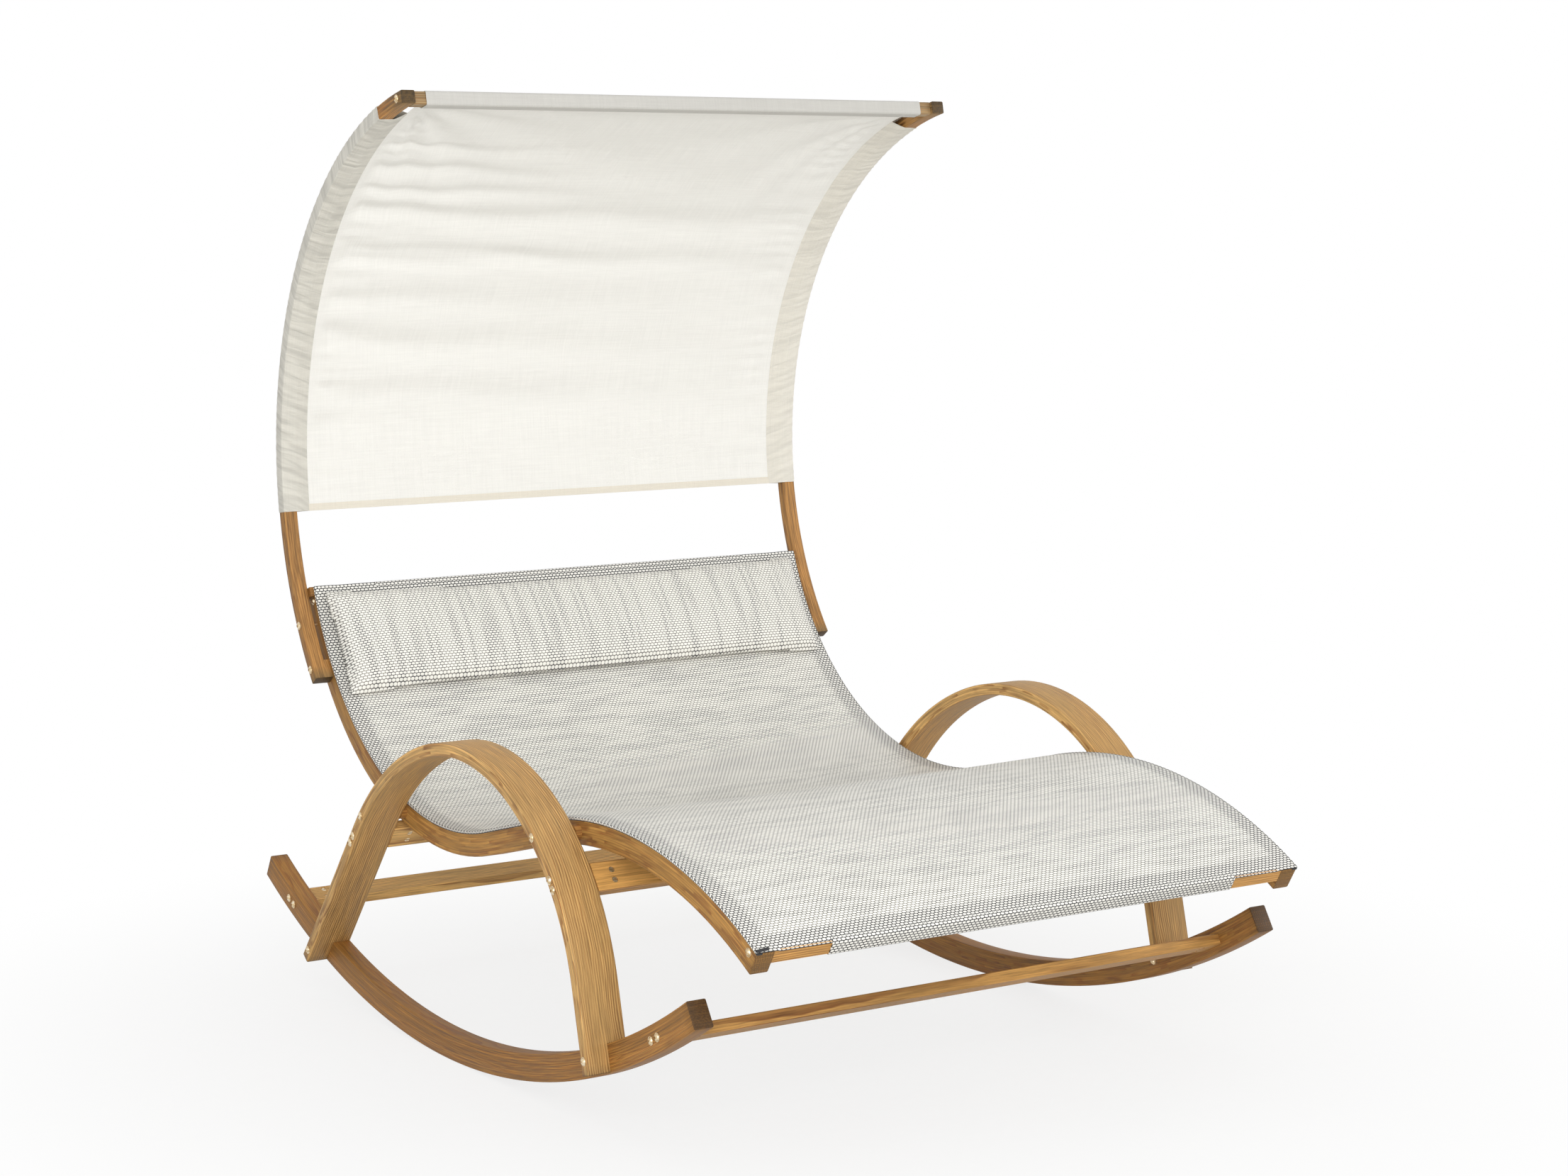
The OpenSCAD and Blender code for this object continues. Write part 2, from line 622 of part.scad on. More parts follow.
on_side(-1) post_spacer();  // left_post_spacer
on_side(1) post_spacer();  // right_post_spacer
arch_spacer_set();  // arch_spacers
bolts(rail_bolt_at, arch_out, rail_in - nut_h);  // arch_rail_bolts
bolts(arch_pairs, arch_out, frame_x - barrel_in - bolt_past);  // arch_crossbar_bolts
bolts(lap_bolt_at, arch_out, frame_x - nut_h);  // lap_bolts
bolts(runner_pairs, runner_out, frame_x - barrel_in - bolt_past);  // runner_crossbar_bolts
bolts([foot_bar_at, head_bolt_at], rail_x, rail_in - barrel_in - bolt_past);  // end_bar_bolts
bolts(post_bolt_at, post_out, rail_in - nut_h);  // post_bolts
bolts([top_bar_at], post_out, post_in - barrel_in - bolt_past);  // canopy_bar_bolts
color(steel) {  // bolt_washers
  washers(concat(rail_bolt_at, arch_pairs, lap_bolt_at), arch_out);
  washers(runner_pairs, runner_out);
  washers([foot_bar_at, head_bolt_at], rail_x);
  washers(concat(post_bolt_at, [top_bar_at]), post_out);
}
cap_nuts(rail_bolt_at, rail_in);  // arch_rail_nuts
cap_nuts(lap_bolt_at, frame_x);  // lap_nuts
cap_nuts(post_bolt_at, rail_in);  // post_nuts
barrel_nuts(arch_pairs, frame_x - barrel_in, arch_t);  // arch_barrel_nuts
barrel_nuts(runner_pairs, frame_x - barrel_in, runner_bar_t);  // runner_barrel_nuts
barrel_nuts([foot_bar_at, head_bolt_at], rail_in - barrel_in, end_bar_t);  // end_bar_barrel_nuts
barrel_nuts([top_bar_at], post_in - barrel_in, post_d);  // canopy_barrel_nuts
sling();
on_side(-1) edging();  // left_edging
on_side(1) edging();  // right_edging
headrest_pillow();
canopy_panel();
on_side(-1) post_sleeve();  // left_post_sleeve
on_side(1) post_sleeve();  // right_post_sleeve
canopy_bar_sleeve();
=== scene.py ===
"""Looks of a double rocking lounger: laminated timber frame, mesh seat, padded headrest and a curved canopy."""

import json
import math

import bpy
import numpy as np
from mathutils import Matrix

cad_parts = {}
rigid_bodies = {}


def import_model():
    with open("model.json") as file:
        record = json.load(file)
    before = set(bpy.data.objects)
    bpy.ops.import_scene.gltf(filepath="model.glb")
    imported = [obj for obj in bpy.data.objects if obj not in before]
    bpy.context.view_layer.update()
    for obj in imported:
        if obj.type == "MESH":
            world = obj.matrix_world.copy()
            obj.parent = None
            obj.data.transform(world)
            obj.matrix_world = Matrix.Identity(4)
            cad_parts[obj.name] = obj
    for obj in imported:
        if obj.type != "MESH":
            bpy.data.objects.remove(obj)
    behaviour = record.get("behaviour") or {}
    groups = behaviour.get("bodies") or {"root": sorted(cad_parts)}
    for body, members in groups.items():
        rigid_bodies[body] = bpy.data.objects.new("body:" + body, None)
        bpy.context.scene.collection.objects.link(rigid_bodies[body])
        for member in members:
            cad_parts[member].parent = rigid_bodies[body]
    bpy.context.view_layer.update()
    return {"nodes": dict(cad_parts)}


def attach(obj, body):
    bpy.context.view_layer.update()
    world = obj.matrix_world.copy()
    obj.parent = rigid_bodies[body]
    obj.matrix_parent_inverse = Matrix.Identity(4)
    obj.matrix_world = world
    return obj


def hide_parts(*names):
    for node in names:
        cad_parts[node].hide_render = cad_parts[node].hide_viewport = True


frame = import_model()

bl_info = {
    "name": "Double Rocking Lounger",
    "version": (1, 0, 0),
    "blender": (4, 5, 0),
    "location": "3D View > Sidebar > Lounger",
    "description": "Dresses the packed frame of a double rocking lounger with timber, mesh and cloth",
    "category": "Object",
}

# Lengths of the frame in metres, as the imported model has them. X runs across, -Y is the foot end.
RAIL_OUT = 0.650
RAIL_IN = 0.610
RAIL_DEEP = 0.051
FRAME_X = 0.663
RUNNER_OUT = 0.705
RUNNER_DEEP = 0.056
ARCH_OUT = 0.753
ARCH_THICK = 0.026
POST_IN = 0.661
POST_OUT = 0.693
POST_DEEP = 0.028
POST_LEN = 1.627
PAD_LEN = 0.045
EDGE_WIDE = 0.012
EDGE_DEEP = 0.0025
BAR_WIDE = 0.043
BAR_THICK = 0.031
TOP_BAR_RUN = POST_LEN - 0.009 - 0.013
TOP_BAR_WIDE = 0.026
# Rounding of the boards' edges
EASE = 0.003

# The mesh: how high it lies over the rails' path, and half the lengths of its end sleeves
MESH_TOP = 0.0023
MESH_LIP = 0.0008
FOOT_SLEEVE_X = 0.485
HEAD_SLEEVE_X = 0.498

# The canopy: runs along a post to its hem and to the sleeve's end, and the panel between its seams
HEM_RUN = 0.402
SLEEVE_RUN = 1.513
PANEL_X = 0.625
PANEL_LEN = 1.168
HEM_DEEP = 0.016
# Its sleeves: play round the timber, thickness of the cloth and half the gap at a seam
LOOSE = 0.0004
CLOTH = 0.0008
SEAM_GAP = 0.0006

# Lengths over which a board darkens towards its cut ends
END_FADE = 0.02
POST_FADE = 0.09

# The camera as it was solved from the photo: place in metres, degrees down and round, lens in millimetres
CAMERA_AT = (-3.5924, -5.5217, 1.7788)
CAMERA_DOWN = 7.143
CAMERA_ROUND = -33.571
CAMERA_LENS = 70.873

DEG = math.pi / 180


def bend(radius, degrees):
    """A link of a chain that turns left, or right where its radius is negative."""
    return abs(radius) * degrees * DEG, radius


def on_circle(centre, radius, heading):
    """The place on a circle where a path round it has this heading."""
    h = heading * DEG
    return centre[0] + radius * math.sin(h), centre[1] - radius * math.cos(h), heading


# A place is (y, z, heading in degrees). A chain is a list of (length, signed radius), 0 for a straight.
RAIL_START = (-1.001, 0.443, 30.8)
RAIL_CHAIN = [bend(-1.026, 45.6), (0.248, 0.0), bend(0.673, 85.2)]
ARCH_START = (-0.574431, 0.132305, 76.3)
ARCH_CHAIN = [(0.169001, 0.0), bend(-0.513, 76.3), bend(-0.513, 17.7), bend(-0.654, 33.7), (0.436449, 0.0)]
ROCK_R = 1.868
RUNNER_ENDS = (-32.0, 28.5)
RUNNER_START = on_circle((0.112, 1.868), ROCK_R, RUNNER_ENDS[0])
RUNNER_CHAIN = [bend(ROCK_R, RUNNER_ENDS[1] - RUNNER_ENDS[0])]
POST_CENTRE = (0.104524, 1.20261)
POST_R = 0.808
POST_LOW = 52.7234
POST_START = on_circle(POST_CENTRE, POST_R, POST_LOW)
POST_CHAIN = [(POST_LEN, POST_R)]
HEM_AT = POST_LOW * DEG + HEM_RUN / POST_R
FOOT_BAR = (-0.973906, 0.440823, 29.5435)
HEAD_BAR = (0.838655, 0.88848, 68.4845)

# The straight bars that keep their solids, with the heading of each one's broad face
BARS = {
    "foot_bar": FOOT_BAR[2],
    "head_bar": HEAD_BAR[2],
    "upper_front_crossbar": 233.052,
    "upper_rear_crossbar": -51.4,
    "lower_front_crossbar": -27.4,
    "lower_rear_crossbar": 24.2,
    "canopy_bar": 166.54,
}

# Folds that start at the near seam: place up the panel there and at the far seam, width, depth and reach
FOLDS = (
    (0.165, 0.22, 0.050, 3.4, 1.10),
    (0.255, 0.20, 0.030, 4.0, 0.55),
    (0.360, 0.30, 0.034, 5.0, 0.70),
    (0.440, 0.40, 0.030, 3.2, 0.60),
    (0.520, 0.50, 0.022, 4.6, 0.45),
    (0.565, 0.49, 0.020, 3.4, 1.00),
    (0.640, 0.60, 0.030, 6.0, 1.10),
    (0.700, 0.66, 0.020, 4.6, 0.40),
    (0.760, 0.72, 0.022, 4.6, 0.35),
    (0.830, 0.80, 0.020, 3.6, 0.30),
)


def moved(p, run, r=0.0):
    """The place reached after a run along a straight or a bend."""
    y, z, h = p
    if r == 0:
        return y + run * math.cos(h * DEG), z + run * math.sin(h * DEG), h
    a = h + run / r / DEG
    return (
        y + r * (math.sin(a * DEG) - math.sin(h * DEG)),
        z - r * (math.cos(a * DEG) - math.cos(h * DEG)),
        a,
    )


def beside(p, off):
    """The place moved sideways, where a positive offset lies to the left of its heading."""
    return p[0] - off * math.sin(p[2] * DEG), p[1] + off * math.cos(p[2] * DEG), p[2]


def total(chain):
    return sum(run for run, r in chain)


RAIL_LEN = total(RAIL_CHAIN)


def along(p, chain, run):
    """The place at a distance along a chain."""
    for length, r in chain[:-1]:
        if run <= length:
            return moved(p, run, r)
        p = moved(p, length, r)
        run -= length
    return moved(p, run, chain[-1][1])


def chain_coords(points, start, chain):
    """Distance along and height above a chain for an array of (y, z) points."""
    best = np.full(len(points), 1e9)
    s_out = np.zeros(len(points))
    n_out = np.zeros(len(points))
    done = 0.0
    p = start
    for k, (length, r) in enumerate(chain):
        if r == 0:
            d = points - np.array(p[:2])
            h = p[2] * DEG
            s = d @ np.array([math.cos(h), math.sin(h)])
            n = d @ np.array([-math.sin(h), math.cos(h)])
        else:
            c = beside(p, r)
            v = points - np.array(c[:2])
            first = math.atan2(p[1] - c[1], p[0] - c[0])
            turn = np.arctan2(v[:, 1], v[:, 0]) - first
            turn = (turn + math.pi) % (2 * math.pi) - math.pi
            s = turn * r
            n = math.copysign(1, r) * (abs(r) - np.hypot(v[:, 0], v[:, 1]))
        # The first and last links go on past the chain's ends
        miss = np.abs(n) * 0.01
        if k > 0:
            miss += np.maximum(0, -s)
        if k < len(chain) - 1:
            miss += np.maximum(0, s - length)
        better = miss < best - 1e-9
        best[better] = miss[better]
        s_out[better] = done + s[better]
        n_out[better] = n[better]
        done += length
        p = moved(p, length, r)
    return s_out, n_out


def both(name):
    """The two sides of the lounger, each with its piece's name."""
    return (-1, "left_" + name), (1, "right_" + name)


def only(*objs):
    """Selects these objects and nothing else, with the last one active."""
    if bpy.context.object and bpy.context.object.mode != "OBJECT":
        bpy.ops.object.mode_set(mode="OBJECT")
    bpy.ops.object.select_all(action="DESELECT")
    for o in objs:
        o.select_set(True)
        bpy.context.view_layer.objects.active = o


def edit_all(obj):
    """Goes into edit mode with the whole mesh selected."""
    only(obj)
    bpy.ops.object.mode_set(mode="EDIT")
    bpy.ops.mesh.select_mode(type="VERT")
    bpy.ops.mesh.select_all(action="SELECT")


def flip(obj):
    edit_all(obj)
    bpy.ops.mesh.flip_normals()
    bpy.ops.object.mode_set(mode="OBJECT")


def apply_modifier(obj, kind, **settings):
    only(obj)
    mod = obj.modifiers.new(kind.title(), kind)
    for key, value in settings.items():
        setattr(mod, key, value)
    bpy.ops.object.modifier_apply(modifier=mod.name)


def bent(name, start, chain, side, across, deep, round_off=EASE, step=0.03):
    """A board with a rounded section, spun round each bend of a chain and extruded along each straight.

    across is its inner and outer edge from the middle of the lounger, deep its lower and upper face beside the path.
    """
    only()
    x0, x1 = sorted(side * x for x in across)
    n0, n1 = deep
    mid = beside(start, (n0 + n1) / 2)
    bpy.ops.mesh.primitive_plane_add(
        size=1, location=((x0 + x1) / 2, mid[0], mid[1]), rotation=((start[2] + 90) * DEG, 0, 0)
    )
    obj = bpy.context.object
    obj.name = name
    obj.data.name = name
    obj.scale = (x1 - x0, n1 - n0, 1)
    bpy.ops.object.transform_apply(location=True, rotation=True, scale=True)
    edit_all(obj)
    if round_off:
        bpy.ops.mesh.bevel(offset=round_off, segments=3, affect="VERTICES")
    p = start
    for run, r in chain:
        count = max(1, math.ceil(run / step))
        if r:
            c = beside(p, r)
            bpy.ops.mesh.spin(steps=count, angle=-run / r, center=(0, c[0], c[1]), axis=(1, 0, 0))
        else:
            h = p[2] * DEG
            shift = (0, run / count * math.cos(h), run / count * math.sin(h))
            for _ in range(count):
                bpy.ops.mesh.extrude_region_move(TRANSFORM_OT_translate={"value": shift})
        p = moved(p, run, r)
    bpy.ops.mesh.select_all(action="SELECT")
    bpy.ops.mesh.remove_doubles(threshold=1e-5)
    bpy.ops.mesh.normals_make_consistent(inside=False)
    bpy.ops.object.mode_set(mode="OBJECT")
    return obj


def coords(mesh):
    """The mesh's vertices as an array of points."""
    co = np.empty(len(mesh.vertices) * 3)
    mesh.vertices.foreach_get("co", co)
    return co.reshape(-1, 3)


def write_field(mesh, name, values):
    """Keeps a number or a vector for each vertex."""
    kind, key = ("FLOAT", "value") if values.ndim == 1 else ("FLOAT_VECTOR", "vector")
    mesh.attributes.new(name, kind, "POINT").data.foreach_set(key, values.astype(np.float32).ravel())


def write_weave(mesh, u, v):
    """Gives each vertex its place in the weave, in metres, as the mesh's only UV layer."""
    while mesh.uv_layers:
        mesh.uv_layers.remove(mesh.uv_layers[0])
    layer = mesh.uv_layers.new(name="weave")
    loops = np.empty(len(mesh.loops), dtype=np.int32)
    mesh.loops.foreach_get("vertex_index", loops)
    layer.data.foreach_set("uv", np.stack([u[loops], v[loops]], axis=1).astype(np.float32).ravel())


def remember_grain(obj, start, chain, seed, fade=END_FADE):
    """Keeps where each vertex lies along, through and across the board, and how near a cut end it is.

    A fade that is longer than usual is for the upper end alone.
    """
    co = coords(obj.data)
    s, n = chain_coords(co[:, 1:], start, chain)
    write_field(obj.data, "grain", np.stack([s + seed * 3.7, n + 0.0004, co[:, 0] + seed * 0.613], axis=1))
    to_end = np.minimum(s / min(fade, END_FADE), (total(chain) - s) / fade)
    write_field(obj.data, "ends", 1 - np.clip(to_end, 0, 1))


def dress(obj, material, slot, *nodes, body="frame"):
    """Gives a piece its finish and its body, and hides the nodes that it replaces. Its slot is not used."""
    obj.data.materials.clear()
    obj.data.materials.append(bpy.data.materials[material])
    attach(obj, body)
    if nodes:
        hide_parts(*nodes)


def finish_timber(obj, start, chain, seed, material, *nodes, fade=END_FADE):
    """Softens the cut ends, keeps the grain, shades the piece and dresses it."""
    apply_modifier(obj, "BEVEL", width=0.0015, segments=2, limit_method="ANGLE", angle_limit=50 * DEG)
    remember_grain(obj, start, chain, seed, fade)
    only(obj)
    bpy.ops.object.shade_smooth_by_angle(angle=40 * DEG)
    dress(obj, material, "frame_wood", *nodes)


def finish_cloth(obj, material, thick, slot, *nodes, offset=-1):
    """Gives a sheet its thickness and dresses it."""
    apply_modifier(obj, "SOLIDIFY", thickness=thick, offset=offset)
    only(obj)
    bpy.ops.object.shade_smooth_by_angle(angle=50 * DEG)
    dress(obj, material, slot, *nodes)
    return obj


def rgb(code):
    """An sRGB hex colour turned to the linear values that the shaders take."""
    parts = [int(code[i : i + 2], 16) / 255 for i in (1, 3, 5)]
    return [c / 12.92 if c <= 0.04045 else ((c + 0.055) / 1.055) ** 2.4 for c in parts] + [1]


def new_material(name):
    mat = bpy.data.materials.get(name) or bpy.data.materials.new(name)
    mat.use_nodes = True
    mat.node_tree.nodes.clear()
    return mat


def node(mat, kind, links=None, **settings):
    """Adds a node with its settings, and fills its inputs, by name or number, with values or links."""
    n = mat.node_tree.nodes.new("ShaderNode" + kind)
    for key, value in settings.items():
        setattr(n, key, value)
    for key, value in (links or {}).items():
        if isinstance(value, (int, float, tuple, list)):
            n.inputs[key].default_value = value
        else:
            mat.node_tree.links.new(value, n.inputs[key])
    return n


def maths(mat, operation, *values):
    return node(mat, "Math", dict(enumerate(values)), operation=operation).outputs[0]


def times(mat, value, *factors):
    for factor in factors:
        value = maths(mat, "MULTIPLY", value, factor)
    return value


def ranged(mat, value, low, high, to_low, to_high, **settings):
    """Maps low to high onto to_low to to_high, and holds it at both ends."""
    links = {"Value": value, "From Min": low, "From Max": high, "To Min": to_low, "To Max": to_high}
    return node(mat, "MapRange", links, **settings).outputs[0]


def combined(mat, *values):
    return node(mat, "CombineXYZ", dict(enumerate(values))).outputs[0]


def stretched(mat, at, *waves):
    """Coordinates stretched by so many waves per metre each way."""
    return node(mat, "VectorMath", {0: at, 1: waves}, operation="MULTIPLY").outputs[0]


def noise(mat, at, detail, rough=0.5, warp=0.0, scale=1.0):
    links = {"Vector": at, "Scale": scale, "Detail": detail, "Roughness": rough, "Distortion": warp}
    return node(mat, "TexNoise", links).outputs["Fac"]


def mixed(mat, share, first, second):
    return node(mat, "Mix", {0: share, 6: first, 7: second}, data_type="RGBA").outputs[2]


def toned(mat, colour, tone):
    return node(mat, "VectorMath", {0: colour, "Scale": tone}, operation="SCALE").outputs[0]


def ramp(mat, value, *stops):
    """A colour ramp with stops given as (position, colour), where a number stands for a grey."""
    n = node(mat, "ValToRGB", {"Fac": value})
    elements = n.color_ramp.elements
    while len(elements) > 1:
        elements.remove(elements[-1])
    for i, (where, colour) in enumerate(stops):
        e = elements[0] if i == 0 else elements.new(where)
        e.position = where
        e.color = rgb(colour) if isinstance(colour, str) else (colour, colour, colour, 1)
    return n.outputs["Color"]


def principled(mat, colour, height, strength, distance, links):
    """A Principled shader with a bump: gives its shader and the bump's normal."""
    bump = node(mat, "Bump", {"Height": height, "Strength": strength, "Distance": distance}).outputs[0]
    return node(mat, "BsdfPrincipled", {"Base Color": colour, "Normal": bump, **links}).outputs[0], bump


def surface(mat, shader):
    node(mat, "OutputMaterial", {"Surface": shader})


def seen_white(mat):
    """One for the rays from the camera, mirrors and glass, which meet plain white."""
    rays = node(mat, "LightPath").outputs
    seen = maths(mat, "MAXIMUM", rays["Is Camera Ray"], rays["Is Glossy Ray"])
    return maths(mat, "MAXIMUM", seen, rays["Is Transmission Ray"])


def tint(name, description, default):
    return bpy.props.StringProperty(name=name, description=description, default=default)


def measure(name, description, default, low, high, unit="LENGTH"):
    return bpy.props.FloatProperty(
        name=name, description=description, default=default, min=low, max=high, unit=unit
    )


class LOUNGER_PG_timber(bpy.types.PropertyGroup):
    """Colours and sizes of the timber."""

    early: tint("Honey wood", "Early wood of the arches", "#dbae6c")
    honey: tint("Bar wood", "Early wood of the straight bars", "#d5a058")
    # Painted light: the rear crossbars get this paler wood to stand in for light, as they lie in the shade of the
    # arches and the mesh
    pale: tint("Pale wood", "Early wood of the rear crossbars", "#f0c077")
    aged: tint("Aged wood", "Early wood of the canopy's bar", "#ab9067")
    post: tint("Post wood", "Early wood of the canopy's posts", "#bd8b4e")
    brown: tint("Brown wood", "Early wood of the seat rails", "#be8d49")
    weathered: tint("Weathered wood", "Early wood of the runners, which stand lowest", "#a9783a")
    late: tint("Late wood", "Colour of the dark part of a growth ring", "#8f5b2b")
    greyed: tint("Greyed wood", "Colour of timber greyed by rain", "#8f7448")
    layer: measure("Layer", "Thickness of one glued layer of a bent board", 0.0052, 0.002, 0.02)
    ring: measure("Ring spacing", "Spacing of the growth rings", 0.0050, 0.001, 0.02)


class LOUNGER_PG_cloth(bpy.types.PropertyGroup):
    """Colours and sizes of the mesh, the pillow and the canopy."""

    yarn: tint("Yarn", "Colour of the coated yarn of the mesh", "#f6f4ed")
    gap: tint("Pale gaps", "Colour of the gaps in the mesh over nothing", "#85827a")
    # Also the painted shade in the gaps over the rails' timber, over the end bars and inside the end sleeves
    dark_gap_and_shade: tint("Dark gaps", "Colour of the gaps over timber or dark weft", "#2b2b2e")
    canopy: tint("Canopy", "Colour of the canopy cloth", "#f8f7f3")
    hem: tint("Hem", "Colour of the canopy's hem", "#efe9db")
    wrap: tint("Bar sleeve", "Colour of the sleeve round the bar", "#cdcbc5")
    sleeve: tint("Left sleeve", "Colour of the left post's doubled sleeve", "#dedbd1")
    # Painted light: the two post sleeves are one cloth, and the right one is painted paler than the left for the
    # light that falls on it
    lit_sleeve: tint("Right sleeve", "Colour of the right post's sleeve, which is paler in the photo", "#ece8dd")
    float_len: measure("Float length", "Spacing of the yarn's floats across the mesh", 0.0096, 0.002, 0.02)
    float_row: measure("Float row", "Spacing of the rows of floats", 0.0062, 0.001, 0.02)
    sag: measure("Sag", "How far the mesh hangs down between the rails", 0.007, 0, 0.03)


class LOUNGER_PG_stage(bpy.types.PropertyGroup):
    """Floor and light."""

    floor: tint("Floor", "Colour of the floor", "#dddcd9")
    key_watts: measure("Key light", "Power of the large soft lamp", 150, 0, 2000, "POWER")
    fill: measure("Fill", "Strength of the even light from all round", 0.68, 0, 3, "NONE")


def timber_material(
    name, curved, early, turn=0.0, end_tone=0.5, fade=END_FADE, faded=0.70, dark_fibre=0.56, fibres=330.0, rained=0.0
):
    """Laminated larch, planed and oiled: glued layers a few millimetres thick, each with its own growth rings.

    What that gives the eye: honey early wood with brown late-wood lines that run the length of the board and
    open into flames, hairline glue joints on the sides, cut ends that have drunk oil and gone dark, a faint
    grey bloom from rain, and a soft satin gloss.
    """
    p = bpy.context.scene.lounger_timber
    m = new_material(name)
    if curved:
        grain = node(m, "Attribute", attribute_name="grain").outputs["Vector"]
        s, n, x = node(m, "SeparateXYZ", {"Vector": grain}).outputs
    else:
        at = node(m, "TexCoord").outputs["Object"]
        turned = node(m, "VectorRotate", {"Vector": at, "Angle": turn}, rotation_type="X_AXIS").outputs[0]
        s, x, n = node(m, "SeparateXYZ", {"Vector": turned}).outputs

    def waves(lengthwise, crosswise):
        """Coordinates stretched by so many waves per metre along the board, and across and through it."""
        return combined(m, times(m, s, lengthwise), times(m, x, crosswise), times(m, n, crosswise))

    # A bar that isn't bent is one layer 80 mm thick
    layer = maths(m, "DIVIDE", n, p.layer if curved else 0.08)
    index = maths(m, "FLOOR", layer)
    lot = node(m, "TexWhiteNoise", {"W": index}, noise_dimensions="1D").outputs["Color"]
    lot_x, lot_n, lot_tone = node(m, "SeparateColor", {"Color": lot}).outputs
    # Slow waves 0.4 m long bend the rings into flames
    flames = noise(m, combined(m, times(m, s, 2.4), times(m, x, 8.0), times(m, index, 7.31)), 3.0, 0.55)
    # Distance from the heart of the tree, which lies to one side and differs from layer to layer
    dx = maths(m, "ADD", x, maths(m, "MULTIPLY_ADD", lot_x, 0.16, 0.05))
    dn = maths(m, "ADD", n, maths(m, "MULTIPLY_ADD", lot_n, 0.05, 0.03))
    radius = maths(m, "SQRT", maths(m, "ADD", times(m, dx, dx), times(m, dn, dn)))
    warped = maths(m, "MULTIPLY_ADD", flames, 0.040 if curved else 0.012, radius)
    phase = maths(m, "FRACT", maths(m, "DIVIDE", warped, p.ring))
    ring = ramp(m, phase, (0.0, 0), (0.40, 0.10), (0.78, 0.85), (0.92, 1), (1.0, 0))
    # Fibres drawn 3 mm wide, on the posts 6 mm, and 90 mm long; real ones are finer and would not show
    fibre = noise(m, waves(11.0, fibres), 4.0, 0.65)
    # Patches of tone a hand's breadth long
    patch = noise(m, waves(4.0, 22.0), 3.0)
    drift = {"W": times(m, s, 1.3), "Scale": 1.0, "Detail": 1.0}
    board = node(m, "TexNoise", drift, noise_dimensions="1D").outputs["Fac"]
    late_share = times(m, ring, ranged(m, patch, 0.35, 0.65, 0.30, 1.0))
    colour = mixed(m, late_share, rgb(early), rgb(p.late))
    tones = [
        ranged(m, lot_tone, 0.0, 1.0, 0.84, 1.10),
        ranged(m, fibre, 0.30, 0.70, dark_fibre, 1.26),
        ranged(m, patch, 0.3, 0.7, 0.82, 1.10),
        ranged(m, board, 0.3, 0.7, 0.86, 1.08),
    ]
    grey = ranged(m, patch, 0.56, 0.74, 0.0, 0.22 if curved else 0.08)
    if curved:
        end = node(m, "Attribute", attribute_name="ends").outputs["Fac"]
        # The cut face itself, then the timber that leads up to it
        tones.append(ranged(m, end, 1 - 0.0024 / fade, 1 - 0.0008 / fade, 1.0, end_tone))
        tones.append(ranged(m, end, 0.0, 1.0, 1.0, faded))
        # Hairline glue joints between the layers
        tones.append(ramp(m, maths(m, "FRACT", layer), (0.0, 0.55), (0.12, 1), (0.92, 1), (1.0, 0.55)))
        if rained:
            # The bare top of a post takes the most rain
            grey = maths(m, "MINIMUM", maths(m, "MULTIPLY_ADD", end, rained, grey), 1.0)
    colour = toned(m, mixed(m, grey, colour, rgb(p.greyed)), times(m, *tones))
    height = maths(m, "MULTIPLY_ADD", fibre, 0.8, ring)
    satin = {"Roughness": ranged(m, fibre, 0.3, 0.7, 0.46, 0.66), "IOR": 1.5, "Specular IOR Level": 0.35}
    surface(m, principled(m, colour, height, 0.35, 0.0006, satin)[0])


